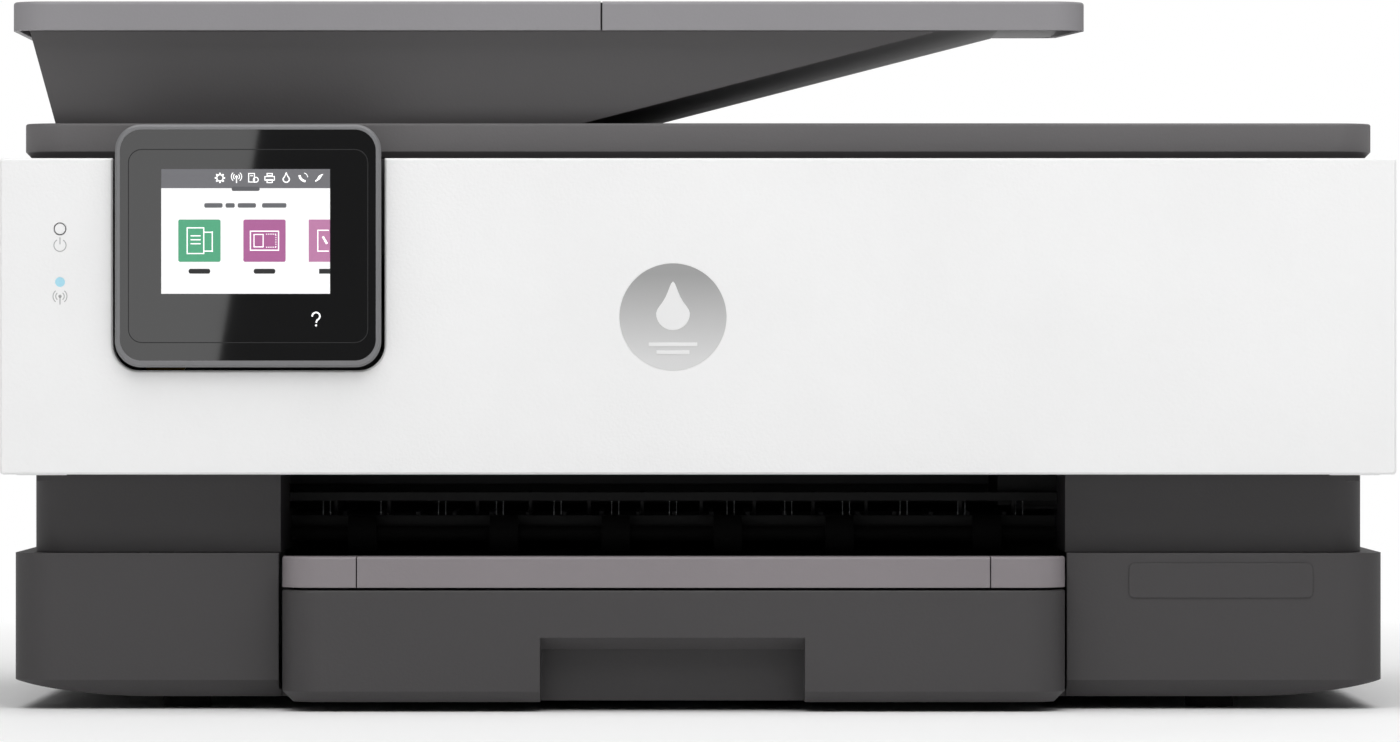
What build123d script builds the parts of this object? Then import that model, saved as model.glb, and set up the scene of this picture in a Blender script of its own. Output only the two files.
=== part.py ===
"""All-in-one inkjet printer with a document feeder, as separate sub-parts.

Units are millimetres. +X is to the right, +Y to the back and +Z up. The origin is on the floor,
below the middle of the printer.
"""
from build123d import *
import os

os.makedirs("parts", exist_ok=True)

# Overall sizes
overall_width = 460.0
overall_depth = 341.0
foot_height = 4.0
base_height = 47.5
middle_height = 26.1
door_height = 104.2
lid_gap = 0.7
lid_height = 11.4
feeder_body_height = 30.5
feeder_cover_height = 9.6

# Walls and clearances
wall = 2.5
thin_wall = 2.0
cover_gap = 1.0
running_clearance = 0.05
sliding_clearance = 0.5

# How far each level stands in from the widest or the most forward one
base_inset = 3.3
middle_inset = 9.3
lid_inset = 6.0
side_panel_inset = 3.0
base_setback = 23.0
door_setback = 12.0
panel_setback = 7.0
middle_setback = 36.5
lid_setback = 32.0
lid_rear_setback = 10.5

# Levels
base_bottom = foot_height
base_top = base_bottom + base_height
door_bottom = base_top + middle_height
door_top = door_bottom + door_height
lid_bottom = door_top + lid_gap
lid_top = lid_bottom + lid_height
feeder_band = lid_top + feeder_body_height
overall_height = feeder_band + feeder_cover_height

half_width = overall_width / 2
front = -overall_depth / 2
rear = overall_depth / 2
base_half = half_width - base_inset
middle_half = half_width - middle_inset
lid_half = half_width - lid_inset
side_outer = half_width - side_panel_inset
side_inner = side_outer - wall
base_front = front + base_setback
door_front = front + door_setback
panel_front = front + panel_setback
middle_front = front + middle_setback
lid_front = front + lid_setback
lid_rear = rear - lid_rear_setback
middle_rear = rear - 10.5

# Paper tray and output tray
tray_width = 257.8
tray_centre = -8.1
tray_left = tray_centre - tray_width / 2
tray_right = tray_centre + tray_width / 2
bay_left = tray_left - 1.7
bay_right = tray_right + 1.1
tray_front_bottom = 3.0
tray_front_top = base_top - 11.7
tray_front_depth = 22.0
tray_body_inset = 3.0
tray_body_height = 29.0
tray_rear_gap = 30.5
output_lip_height = 10.1
output_seam_inset = 25.1
handle_left = -51.9
handle_right = 35.0
handle_top = 24.2

# Door
door_thickness = 8.5
corner_radius = 13.0

# Control panel
panel_width = 87.5
panel_height = 79.9
panel_centre = -half_width + 81.95
panel_bottom = door_bottom + 35.3
panel_thickness = 13.5
panel_frame_width = 1.7
panel_hinge_drop = 14.8
panel_gap = 1.0
display_width = 55.5
display_height = 41.0

# Print mechanism
rod_radius = 4.0
carriage_front = middle_front + 74.0
rod_y = carriage_front + 75.0
carriage_bottom = door_bottom - 11.6
rod_z = carriage_bottom + 34.0
frame_half = middle_half - 14.7
frame_wall_y = rod_y + 13.0
carriage_width = 96.0
carriage_park = frame_half - carriage_width / 2 - 8.0
carriage_top = carriage_bottom + 60.0
pulley_radius = 7.0
pulley_x = frame_half - 19.0
pulley_z = rod_z + 12.0
belt_thickness = 1.2
belt_width = 3.0
eject_y = carriage_front - 10.0
eject_z = base_top + 5.1
eject_radius = 6.0
feed_y = frame_wall_y + 14.0
feed_z = base_top + 5.5
feed_radius = 8.0

# Scanner
bed_bottom = door_top - 31.8
glass_left = -lid_half + 64.0
glass_right = lid_half - 79.0
glass_front = lid_front + 38.5
glass_rear = lid_rear - 40.0
glass_thickness = 2.8
strip_left = glass_left - 32.0
strip_width = 16.0
scan_head_width = 24.0
scan_rod_y = (glass_front + glass_rear) / 2
scan_rod_z = bed_bottom + 10.0

# Document feeder
feeder_left = -half_width + 2.8
feeder_right = lid_half - 96.0
feeder_seam = feeder_left + 195.2
feeder_front = front + 23.5
feeder_rear = lid_rear - 63.0
feeder_radius = 11.0


def block(x0, x1, y0, y1, z0, z1, mode=Mode.ADD):
    """A box between two corners, added to or cut from the part being built."""
    with Locations(((x0 + x1) / 2, (y0 + y1) / 2, (z0 + z1) / 2)):
        Box(x1 - x0, y1 - y0, z1 - z0, mode=mode)


def rod_x(x0, x1, y, z, radius, mode=Mode.ADD):
    """A round bar along X."""
    with Locations(((x0 + x1) / 2, y, z)):
        Cylinder(radius, x1 - x0, rotation=(0, 90, 0), mode=mode)


def rod_along_y(x, y0, y1, z, radius, mode=Mode.ADD):
    """A round bar along Y."""
    with Locations((x, (y0 + y1) / 2, z)):
        Cylinder(radius, y1 - y0, rotation=(90, 0, 0), mode=mode)


def outline(x0, x1, y0, y1, radius):
    """A rounded rectangle between two corners, in the current sketch."""
    with Locations(((x0 + x1) / 2, (y0 + y1) / 2)):
        RectangleRounded(x1 - x0, y1 - y0, radius)


def save(piece, name):
    """Label a finished sub-part and write it as its own file."""
    piece.part.label = name
    export_step(piece.part, "parts/" + name + ".step")


# Base tub: floor, walls and a ledge that carries the middle housing
curve_run = 44.0
curve_rise = 5.5
with BuildPart() as base_tub:
    with BuildSketch(Plane.XY.offset(base_bottom)):
        outline(-base_half, base_half, base_front, rear, corner_radius)
    extrude(amount=base_height)
    chamfer(base_tub.faces().sort_by(Axis.Z)[0].edges(), 5.5)
    with BuildSketch(Plane.XY.offset(base_bottom + wall)):
        outline(-base_half + 8, base_half - 8, base_front + 8, rear - 8, corner_radius - 6)
    extrude(amount=base_height, mode=Mode.SUBTRACT)
    with BuildSketch(Plane.XY.offset(base_bottom + 9)):
        outline(-base_half + wall, base_half - wall, base_front + wall, rear - wall, corner_radius - wall)
    extrude(amount=base_height - 9 - wall, mode=Mode.SUBTRACT)
    # The underside rises in a long curve towards each side
    for side in (-1, 1):
        with BuildSketch(Plane.XZ.offset(-rear - 1)):
            with BuildLine():
                ThreePointArc((side * (base_half - curve_run), base_bottom),
                              (side * (base_half - curve_run / 2), base_bottom + curve_rise / 4),
                              (side * base_half, base_bottom + curve_rise))
                Polyline((side * base_half, base_bottom + curve_rise), (side * half_width, base_bottom + curve_rise),
                         (side * half_width, base_bottom - 1), (side * (base_half - curve_run), base_bottom - 1),
                         (side * (base_half - curve_run), base_bottom))
            make_face()
        extrude(amount=overall_depth + 2, mode=Mode.SUBTRACT)
    block(bay_left, bay_right, base_front - 1, base_front + 12, base_bottom + wall, base_top + 1, Mode.SUBTRACT)
    block(tray_left - 1, tray_right + 1, base_front - 1, base_front + 6, 0, base_bottom + wall, Mode.SUBTRACT)
save(base_tub, "base_tub")

foot_radius = 8.0
foot_inset_x = curve_run + foot_radius + 4
foot_inset_y = 30.0
with BuildPart() as rubber_feet:
    with BuildSketch():
        with Locations((0, (base_front + rear) / 2)):
            with GridLocations(2 * (base_half - foot_inset_x), rear - base_front - 2 * foot_inset_y, 2, 2):
                Circle(foot_radius)
    extrude(amount=foot_height)
save(rubber_feet, "rubber_feet")

# Blank nameplate in a shallow seat on the right of the base
nameplate_left = bay_right + 20.5
nameplate_right = nameplate_left + 60.9
nameplate_bottom = base_top - 14.8
nameplate_top = base_top - 3.3
with BuildPart() as nameplate:
    with BuildSketch(Plane.XZ.offset(-base_front)):
        outline(nameplate_left, nameplate_right, nameplate_bottom, nameplate_top, 2)
    extrude(amount=0.4)
save(nameplate, "nameplate")

# Rear access opening
access_left = -110.0
access_right = 110.0
access_bottom = base_top + 10
access_top = base_top + 75
access_hinge_y = rear - 1.8
access_hinge_z = access_bottom + 5
access_pin_radius = 0.9

# Middle housing: outer walls, the sides of the output bay and a deck in front of the mechanism
deck_rear = carriage_front - 8
with BuildPart() as middle_housing:
    with BuildSketch(Plane.XY.offset(base_top)) as ring:
        outline(-middle_half, middle_half, middle_front, middle_rear, corner_radius - 3)
        offset(ring.sketch, amount=-wall, mode=Mode.SUBTRACT)
    extrude(amount=middle_height)
    block(bay_left, bay_right, middle_front - 1, middle_front + 6, base_top - 1, door_bottom + 1, Mode.SUBTRACT)
    block(access_left + 4, access_right - 4, middle_rear - wall - 1, middle_rear + 1, access_bottom + 3,
          door_bottom + 1, Mode.SUBTRACT)
    for side_x in (bay_left - wall, bay_right):
        block(side_x, side_x + wall, middle_front, frame_wall_y, base_top, carriage_bottom - 2)
        block(side_x, side_x + wall, middle_front, deck_rear, base_top, door_bottom)
    block(-middle_half + 1, bay_left - 1, middle_front + 1, deck_rear, door_bottom - wall, door_bottom)
    block(bay_right + 1, middle_half - 1, middle_front + 1, deck_rear, door_bottom - wall, door_bottom)
save(middle_housing, "middle_housing")

# White side panels behind the door, each with a foot that sits on the middle housing
panel_y0 = door_front + door_thickness + cover_gap
door_hinge_y = door_front + door_thickness - 1.5
door_hinge_z = door_bottom + 0.9
door_pin_radius = 1.2
door_pin_length = 16.0
for side, name in ((-1, "left_side_panel"), (1, "right_side_panel")):
    with BuildPart() as side_panel:
        with BuildSketch(Plane.XY.offset(door_bottom)):
            with Locations((side * (side_inner + side_outer) / 2, (panel_y0 + rear) / 2)):
                Rectangle(wall, rear - panel_y0)
        extrude(amount=door_height)
        fillet(side_panel.edges().filter_by(Axis.Y).sort_by(Axis.X)[-side::-side][:2], 0.8)
        x0, x1 = sorted((side * (middle_half - 8), side * side_inner))
        block(x0, x1, middle_front + 4, middle_rear - 4, door_bottom, door_bottom + wall)
        # Ear and pin for the front door, which has a notch round the ear
        x0, x1 = sorted((side * (side_inner - 5), side * (side_inner + 0.5)))
        block(x0, x1, door_hinge_y, panel_y0 + 6, door_bottom, door_hinge_z + door_pin_radius)
        x0, x1 = sorted((side * (side_inner - door_pin_length), side * (side_inner + 0.5)))
        rod_x(x0, x1, door_hinge_y, door_hinge_z, door_pin_radius)
    save(side_panel, name)

# Rear cover with openings for the access door and the sockets
inlet_x = -frame_half + 26.0
socket_x = frame_half - 41.0
socket_z = door_bottom + 14.4
rear_wall = 3.5
rear_top = door_top - 3
hinge_y = lid_rear - 3
hinge_z = lid_bottom + 2.5
hinge_x = lid_half - 74.0
hinge_pin_radius = 2.0
with BuildPart() as rear_cover:
    block(-side_inner, side_inner, rear - rear_wall, rear, base_top, rear_top)
    block(-side_inner, side_inner, middle_rear - 10, rear, rear_top - wall, rear_top)
    fillet(rear_cover.edges().filter_by(Axis.X).group_by(Axis.Y)[-1], 1.2)
    block(access_left, access_right, rear - 10, rear + 1, access_bottom, access_top, Mode.SUBTRACT)
    block(inlet_x - 14, inlet_x + 14, rear - 10, rear + 1, socket_z - 10, socket_z + 10, Mode.SUBTRACT)
    block(socket_x - 26, socket_x + 26, rear - 10, rear + 1, socket_z - 10, socket_z + 10, Mode.SUBTRACT)
    # Lips behind the sides and the top of the access opening, and holes for the door's stub pins
    for side_x in (access_left, access_right):
        block(side_x - 3, side_x + 3, rear - rear_wall - 1.5, rear - rear_wall, access_bottom + 10, access_top + 3)
        rod_x(side_x - 3, side_x + 3, access_hinge_y, access_hinge_z, access_pin_radius + running_clearance,
              Mode.SUBTRACT)
    block(access_left, access_right, rear - rear_wall - 1.5, rear - rear_wall, access_top - 3, access_top + 3)
    # Brackets that carry the scanner lid's pins
    for side in (-1, 1):
        block(side * hinge_x - 2, side * hinge_x + 2, hinge_y - 4, hinge_y + 4, rear_top, hinge_z)
        rod_x(side * hinge_x - 2, side * hinge_x + 2, hinge_y, hinge_z, hinge_pin_radius + 2)
        rod_x(side * hinge_x - 3, side * hinge_x + 3, hinge_y, hinge_z, hinge_pin_radius + running_clearance,
              Mode.SUBTRACT)
save(rear_cover, "rear_cover")

# Rear access door, hinged at its bottom on two stub pins
access_thickness = 3.0
with BuildPart() as rear_access_door:
    block(access_left + 1, access_right - 1, rear - access_thickness, rear, access_bottom + 1, access_top - 1)
    fillet(rear_access_door.edges().filter_by(Axis.Y), 1.0)
    with Locations((0, rear, access_top - 12)):
        Box(60, 2 * 1.2, 10, mode=Mode.SUBTRACT)
    rod_x(access_left - 2.5, access_left + 4, access_hinge_y, access_hinge_z, access_pin_radius)
    rod_x(access_right - 4, access_right + 2.5, access_hinge_y, access_hinge_z, access_pin_radius)
    for slat in range(4):
        block(-70, 70, rear - 0.8, rear + 1, access_bottom + 14 + 7 * slat, access_bottom + 17 + 7 * slat, Mode.SUBTRACT)
save(rear_access_door, "rear_access_door")

# Front door with a U-shaped cut-out for the control panel
panel_left = panel_centre - panel_width / 2
panel_right = panel_centre + panel_width / 2
panel_top = panel_bottom + panel_height
cut_left = panel_left - panel_gap
cut_right = panel_right + panel_gap
cut_bottom = panel_bottom - panel_gap
door_back = door_front + door_thickness
skin = 2.5
power_x = -half_width + 19.8
power_z = door_top - 23.3
power_radius = 1.75
wireless_z = power_z - 17.5
wireless_radius = 1.6
emblem_x = -8.3
emblem_z = (door_bottom + door_top) / 2 - 0.2
emblem_radius = 17.6
with BuildPart() as front_door:
    with BuildSketch(Plane.XZ.offset(-door_front)):
        outline(-half_width, half_width, door_bottom, door_top, 1.2)
        with Locations((panel_centre, cut_bottom + 60)):
            RectangleRounded(cut_right - cut_left, 120, 8.5, mode=Mode.SUBTRACT)
    extrude(amount=-door_thickness)
    chamfer(front_door.faces().sort_by(Axis.Y)[0].edges(), 0.6)
    with BuildSketch(Plane.XZ.offset(-door_front - skin)):
        outline(-half_width + skin, half_width - skin, door_bottom + skin, door_top - skin, 1)
        with Locations((panel_centre, cut_bottom + 60)):
            RectangleRounded(cut_right - cut_left + 2 * skin, 120 + 2 * skin, 9, mode=Mode.SUBTRACT)
    extrude(amount=-door_thickness, mode=Mode.SUBTRACT)
    for side in (-1, 1):
        x0, x1 = sorted((side * (side_inner - door_pin_length + 2), side * (side_inner - 7)))
        rod_x(x0, x1, door_hinge_y, door_hinge_z, door_pin_radius + 1.4)
        block(x0, x1, door_back - 6, door_back + 4, door_bottom - 4, door_bottom - 0.2, Mode.SUBTRACT)
        x0, x1 = sorted((side * (side_inner - 6), side * (side_inner + 1.5)))
        block(x0, x1, door_hinge_y - 3, door_back + 1, door_bottom - 1, door_bottom + 4, Mode.SUBTRACT)
        x0, x1 = sorted((side * (side_inner - door_pin_length - 1), side * (side_inner + 1.5)))
        rod_x(x0, x1, door_hinge_y, door_hinge_z, door_pin_radius + running_clearance, Mode.SUBTRACT)
    rod_along_y(power_x, door_front - 1, door_back, power_z, power_radius + 0.35, Mode.SUBTRACT)
    rod_along_y(power_x, door_front - 1, door_back, wireless_z, wireless_radius, Mode.SUBTRACT)
    rod_along_y(emblem_x, door_front - 1, door_front + 0.8, emblem_z, emblem_radius, Mode.SUBTRACT)
save(front_door, "front_door")

with BuildPart() as door_liner:
    with BuildSketch(Plane.XZ.offset(-door_front - skin)):
        outline(cut_right + skin + 6, half_width - skin - 6, door_bottom + skin + 6, door_top - skin - 6, 3)
    extrude(amount=-(door_thickness - skin - 1))
    with BuildSketch(Plane.XZ.offset(-door_back + 1)):
        with Locations(((cut_right + half_width) / 2 + 4, (door_bottom + door_top) / 2)):
            with GridLocations(52, 40, 5, 2):
                RectangleRounded(44, 32, 3)
    extrude(amount=3, mode=Mode.SUBTRACT)
save(door_liner, "door_liner")

with BuildPart() as door_emblem:
    with BuildSketch(Plane.XZ.offset(-door_front - 0.8)):
        with Locations((emblem_x, emblem_z)):
            Circle(emblem_radius)
    extrude(amount=0.9)
save(door_emblem, "door_emblem")

with BuildPart() as wireless_light:
    rod_along_y(power_x, door_front, door_front + 4, wireless_z, wireless_radius)
save(wireless_light, "wireless_light")

# Power button: a round cap with a wider collar behind the door's skin
with BuildPart() as power_button:
    rod_along_y(power_x, door_front - 0.3, door_front + skin + 0.1, power_z, power_radius)
    rod_along_y(power_x, door_front + skin + 0.1, door_front + skin + 1.6, power_z, power_radius + 1.4)
save(power_button, "power_button")

# Control panel: back housing, bezel frame, touch glass and display
panel_back_y = panel_front + panel_thickness
panel_hinge_y = panel_back_y - 2
panel_hinge_z = panel_top - panel_hinge_drop
panel_pin_radius = 2.0
recess_half_width = 30.0
recess_half_height = 8.0
recess_depth = 6.0
with BuildPart() as panel_back:
    with BuildSketch(Plane.XZ.offset(-panel_back_y)):
        outline(panel_left + 0.6, panel_right - 0.6, panel_bottom + 0.6, panel_top - 0.6, 8)
    extrude(amount=panel_thickness - 3)
    with Locations((panel_centre, panel_back_y, panel_hinge_z)):
        Box(2 * recess_half_width, 2 * recess_depth, 2 * recess_half_height, mode=Mode.SUBTRACT)
    rod_x(panel_centre - recess_half_width, panel_centre + recess_half_width, panel_hinge_y, panel_hinge_z,
          panel_pin_radius)
save(panel_back, "panel_back")

with BuildPart() as panel_frame:
    with BuildSketch(Plane.XZ.offset(-panel_front - 3)):
        outline(panel_left, panel_right, panel_bottom, panel_top, 8.6)
    extrude(amount=3)
    chamfer(panel_frame.faces().sort_by(Axis.Y)[0].edges(), 0.7)
    with BuildSketch(Plane.XZ.offset(-panel_front - 3)):
        outline(panel_left + panel_frame_width, panel_right - panel_frame_width,
                panel_bottom + panel_frame_width + 0.5, panel_top - panel_frame_width, 7)
    extrude(amount=4, mode=Mode.SUBTRACT)
save(panel_frame, "panel_frame")

display_x = panel_centre - 0.75
display_z = panel_bottom + 44.7
with BuildPart() as touch_glass:
    with BuildSketch(Plane.XZ.offset(-panel_front - 3)):
        outline(panel_left + panel_frame_width, panel_right - panel_frame_width,
                panel_bottom + panel_frame_width + 0.5, panel_top - panel_frame_width, 7)
    extrude(amount=2.7)
    with Locations((display_x, panel_front + 3, display_z)):
        Box(display_width + 2, 4, display_height + 2, mode=Mode.SUBTRACT)
save(touch_glass, "touch_glass")

with BuildPart() as display_module:
    with Locations((display_x, panel_front + 2, display_z)):
        Box(display_width + 2, 2, display_height + 2)
save(display_module, "display_module")

bracket_y = door_back + 4
ear_half_height = 2.5

# Mechanism frame: a back wall and two cheeks, on legs that stand on the base floor
frame_top = carriage_top + 8.0
cheek = 2.0
with BuildPart() as mechanism_frame:
    block(-frame_half - cheek, frame_half + cheek, frame_wall_y, frame_wall_y + 2, feed_z + 15, frame_top)
    for side in (-1, 1):
        x0, x1 = sorted((side * frame_half, side * (frame_half + cheek)))
        block(x0, x1, carriage_front, feed_y + 12, base_bottom + wall, frame_top)
        rod_along_y(side * pulley_x, frame_wall_y - 1, frame_wall_y + 3, pulley_z, 3 + running_clearance,
                    Mode.SUBTRACT)
save(mechanism_frame, "mechanism_frame")

with BuildPart() as carriage_rod:
    rod_x(-frame_half, frame_half, rod_y, rod_z, rod_radius)
save(carriage_rod, "carriage_rod")

# Carriage drive: a toothed pulley at each end and a flat belt around both
belt_y = frame_wall_y - 3.4
with BuildPart() as carriage_belt:
    with BuildSketch(Plane.XZ.offset(-belt_y - belt_width)) as loop:
        with Locations((0, pulley_z)):
            SlotCenterToCenter(2 * pulley_x, 2 * (pulley_radius + belt_thickness + 0.1))
            SlotCenterToCenter(2 * pulley_x, 2 * (pulley_radius + 0.1), mode=Mode.SUBTRACT)
    extrude(amount=belt_width)
save(carriage_belt, "carriage_belt")

for side, name in ((-1, "drive_pulley"), (1, "idler_pulley")):
    with BuildPart() as pulley:
        with BuildSketch(Plane.XZ.offset(-belt_y - belt_width)):
            with Locations((side * pulley_x, pulley_z)):
                Circle(pulley_radius)
                with PolarLocations(pulley_radius, 18):
                    Circle(0.5, mode=Mode.SUBTRACT)
        extrude(amount=belt_width)
        rod_along_y(side * pulley_x, belt_y + belt_width, frame_wall_y + 3, pulley_z, 3)
    save(pulley, name)

with BuildPart() as carriage_motor:
    rod_along_y(-pulley_x, frame_wall_y + 5, frame_wall_y + 35, pulley_z, 16)
    for screw_z in (-11, 11):
        rod_along_y(-pulley_x, frame_wall_y + 2, frame_wall_y + 5, pulley_z + screw_z, 2.5)
save(carriage_motor, "carriage_motor")

# Print carriage, parked at the right, with a row of cartridge bays open to the front
carriage_left = carriage_park - carriage_width / 2
carriage_right = carriage_park + carriage_width / 2
bay_pitch = 22.5
cartridge_width = 20.0
cartridge_bottom = carriage_bottom + 15.0
cartridge_top = carriage_top - 5.0
cartridge_rear = carriage_front + 62.0
cartridge_front = carriage_front - 6
with BuildPart() as print_carriage:
    block(carriage_left, carriage_right, carriage_front, rod_y + 8, carriage_bottom, carriage_top)
    chamfer(print_carriage.faces().sort_by(Axis.Z)[-1].edges().sort_by(Axis.Y)[0], 4)
    rod_x(carriage_left - 1, carriage_right + 1, rod_y, rod_z, rod_radius + running_clearance, Mode.SUBTRACT)
    with Locations((carriage_park, (carriage_front + cartridge_rear) / 2 - 1, (cartridge_bottom + cartridge_top) / 2)):
        with GridLocations(bay_pitch, 1, 4, 1):
            Box(cartridge_width + 1, cartridge_rear - carriage_front + 3, cartridge_top - cartridge_bottom + 1,
                mode=Mode.SUBTRACT)
    block(carriage_left + 6, carriage_right - 6, carriage_front + 6, carriage_front + 52, carriage_bottom - 1.5, carriage_bottom)
save(print_carriage, "print_carriage")

cartridge_names = ("black_cartridge", "cyan_cartridge", "magenta_cartridge", "yellow_cartridge")
for index, name in enumerate(cartridge_names):
    bay_x = carriage_park + (index - 1.5) * bay_pitch
    with BuildPart() as cartridge:
        block(bay_x - cartridge_width / 2, bay_x + cartridge_width / 2, cartridge_front, cartridge_rear,
              cartridge_bottom, cartridge_top)
        fillet(cartridge.faces().sort_by(Axis.Y)[0].edges(), 1.5)
        block(bay_x - 6, bay_x + 6, cartridge_front - 1, cartridge_front + 2, cartridge_top - 12,
              cartridge_top - 8, Mode.SUBTRACT)
    save(cartridge, name)

# Ribbed platen under the carriage, between the sides of the output bay
platen_top = carriage_bottom - 3.5
with BuildPart() as platen:
    block(bay_left, bay_right, carriage_front + 2, frame_wall_y - 2, platen_top - 6, platen_top)
    with Locations((tray_centre, (carriage_front + frame_wall_y) / 2, platen_top)):
        with GridLocations(12.5, 1, 19, 1):
            Box(1.6, 80, 2.4)
save(platen, "platen")

# Feed roller on its shaft, and the pulley that drives it
shaft_radius = 4.0
feed_pulley_x = -frame_half + 16.0
feed_pulley_radius = 16.0
with BuildPart() as feed_roller:
    rod_x(feed_pulley_x - 3, feed_pulley_x + 3, feed_y, feed_z, feed_pulley_radius)
    with BuildSketch(Plane.YZ.offset(feed_pulley_x - 4)):
        with Locations((feed_y, feed_z)):
            with PolarLocations(10, 5):
                Circle(3)
    extrude(amount=8, mode=Mode.SUBTRACT)
    rod_x(-frame_half + 0.3, frame_half - 0.3, feed_y, feed_z, shaft_radius)
    rod_x(tray_left + 12, tray_right - 12, feed_y, feed_z, feed_radius)
save(feed_roller, "feed_roller")

motor_y = feed_y + 53.0
motor_pulley_radius = 5.0
with BuildPart() as feed_motor_pulley:
    rod_x(feed_pulley_x - 3, feed_pulley_x + 3, motor_y, feed_z, motor_pulley_radius)
    rod_x(feed_pulley_x + 3, feed_pulley_x + 8, motor_y, feed_z, 1.5)
save(feed_motor_pulley, "feed_motor_pulley")

with BuildPart() as feed_motor:
    rod_x(feed_pulley_x + 8.3, feed_pulley_x + 38, motor_y, feed_z, 17)
    block(feed_pulley_x + 12, feed_pulley_x + 34, motor_y - 12, motor_y + 12, base_bottom + wall, feed_z - 10)
save(feed_motor, "feed_motor")

with BuildPart() as feed_belt:
    for grow, how in ((1.3, Mode.ADD), (0.2, Mode.SUBTRACT)):
        with BuildSketch(Plane.YZ.offset(feed_pulley_x - 2.5)):
            with Locations((feed_y, feed_z)):
                Circle(feed_pulley_radius + grow)
            with Locations((motor_y, feed_z)):
                Circle(motor_pulley_radius + grow)
            make_hull()
        extrude(amount=5, mode=how)
save(feed_belt, "feed_belt")

# Eject roller: one shaft with six narrow rollers between the sides of the bay
eject_spots = [tray_centre + offset_x for offset_x in (-105.9, -57.9, -19.9, 18.1, 56.1, 106.1)]
with BuildPart() as eject_roller:
    rod_x(bay_left + 0.3, bay_right - 0.3, eject_y, eject_z, 2.5)
    for spot in eject_spots:
        rod_x(spot - 4.8, spot + 4.8, eject_y, eject_z, eject_radius)
save(eject_roller, "eject_roller")

# Star wheel bar above the eject roller
with BuildPart() as star_wheel_bar:
    block(bay_left, bay_right, eject_y - 3, eject_y + 5, eject_z + 11, eject_z + 14)
    for spot in eject_spots:
        for offset_x in (-9, 9):
            rod_x(spot + offset_x - 0.6, spot + offset_x + 0.6, eject_y + 1, eject_z + 10.5, 4)
save(star_wheel_bar, "star_wheel_bar")

# Scanner bed: floor, walls and a top bezel with two glass openings
rod_wall_left = -side_inner + 18.5
rod_wall_right = side_inner - 24.5
with BuildPart() as scanner_bed:
    block(-side_inner, side_inner, bracket_y, lid_rear - 10, bed_bottom, door_top)
    block(-side_inner + wall, side_inner - wall, bracket_y + wall, lid_rear - 10 - wall, bed_bottom + wall,
          door_top - 3, Mode.SUBTRACT)
    block(glass_left, glass_right, glass_front, glass_rear, bed_bottom + wall, door_top + 1, Mode.SUBTRACT)
    block(strip_left, strip_left + strip_width, glass_front, glass_rear, bed_bottom + wall, door_top + 1,
          Mode.SUBTRACT)
    # Ears on the front wall that carry the control panel
    for ear_x in (panel_centre - 20, panel_centre + 20):
        block(ear_x - 2, ear_x + 2, panel_hinge_y, bracket_y, panel_hinge_z - ear_half_height,
              panel_hinge_z + ear_half_height)
        rod_x(ear_x - 2, ear_x + 2, panel_hinge_y, panel_hinge_z, panel_pin_radius + 1.5)
        rod_x(ear_x - 2, ear_x + 2, panel_hinge_y, panel_hinge_z, panel_pin_radius + running_clearance,
              Mode.SUBTRACT)
save(scanner_bed, "scanner_bed")

with BuildPart() as scanner_glass:
    block(glass_left, glass_right, glass_front, glass_rear, door_top - glass_thickness, door_top)
    block(strip_left, strip_left + strip_width, glass_front, glass_rear, door_top - glass_thickness, door_top)
save(scanner_glass, "scanner_glass")

scan_rod_radius = 4.0
with BuildPart() as scan_rod:
    rod_x(rod_wall_left, rod_wall_right, scan_rod_y, scan_rod_z, scan_rod_radius)
    for end_x in (rod_wall_left - 4, rod_wall_right):
        block(end_x, end_x + 4, scan_rod_y - 8, scan_rod_y + 8, bed_bottom + wall, scan_rod_z + 8)
save(scan_rod, "scan_rod")

scan_head_x = strip_left + strip_width / 2
with BuildPart() as scan_head:
    block(scan_head_x - scan_head_width / 2, scan_head_x + scan_head_width / 2, glass_front + 2, glass_rear - 2,
          scan_rod_z + 7, door_top - glass_thickness - 1)
    block(scan_head_x - scan_head_width / 2, scan_head_x + scan_head_width / 2, scan_rod_y - 7, scan_rod_y + 7,
          scan_rod_z - 2, scan_rod_z + 7)
    rod_x(scan_head_x - scan_head_width, scan_head_x + scan_head_width, scan_rod_y, scan_rod_z,
          scan_rod_radius + running_clearance, Mode.SUBTRACT)
    block(scan_head_x - 3, scan_head_x + 3, glass_front + 6, glass_rear - 6, door_top - glass_thickness - 2,
          door_top, Mode.SUBTRACT)
save(scan_head, "scan_head")

# Scanner lid on two pins at the rear, and its white backing
notch_half = 6.0
with BuildPart() as scanner_lid:
    with BuildSketch(Plane.XY.offset(lid_bottom)):
        outline(-lid_half, lid_half, lid_front, lid_rear, corner_radius)
    extrude(amount=lid_height)
    chamfer(scanner_lid.faces().sort_by(Axis.Z)[0].edges(), 2.0)
    fillet(scanner_lid.faces().sort_by(Axis.Z)[-1].edges(), 0.8)
    block(-lid_half + 8, lid_half - 8, lid_front + 8, lid_rear - 14, lid_bottom - 1, lid_top - wall, Mode.SUBTRACT)
    for side in (-1, 1):
        block(side * hinge_x - notch_half, side * hinge_x + notch_half, lid_rear - 10, lid_rear + 1,
              lid_bottom - 1, lid_top + 1, Mode.SUBTRACT)
        rod_x(side * hinge_x - notch_half, side * hinge_x + notch_half, hinge_y, hinge_z, hinge_pin_radius)
save(scanner_lid, "scanner_lid")

with BuildPart() as lid_backing:
    block(strip_left - 4, glass_right + 6, glass_front - 6, glass_rear + 6, lid_bottom + 0.6, lid_bottom + 5)
    block(strip_left - 1, strip_left + strip_width + 1, glass_front, glass_rear, lid_bottom, lid_bottom + 2,
          Mode.SUBTRACT)
save(lid_backing, "lid_backing")

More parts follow.
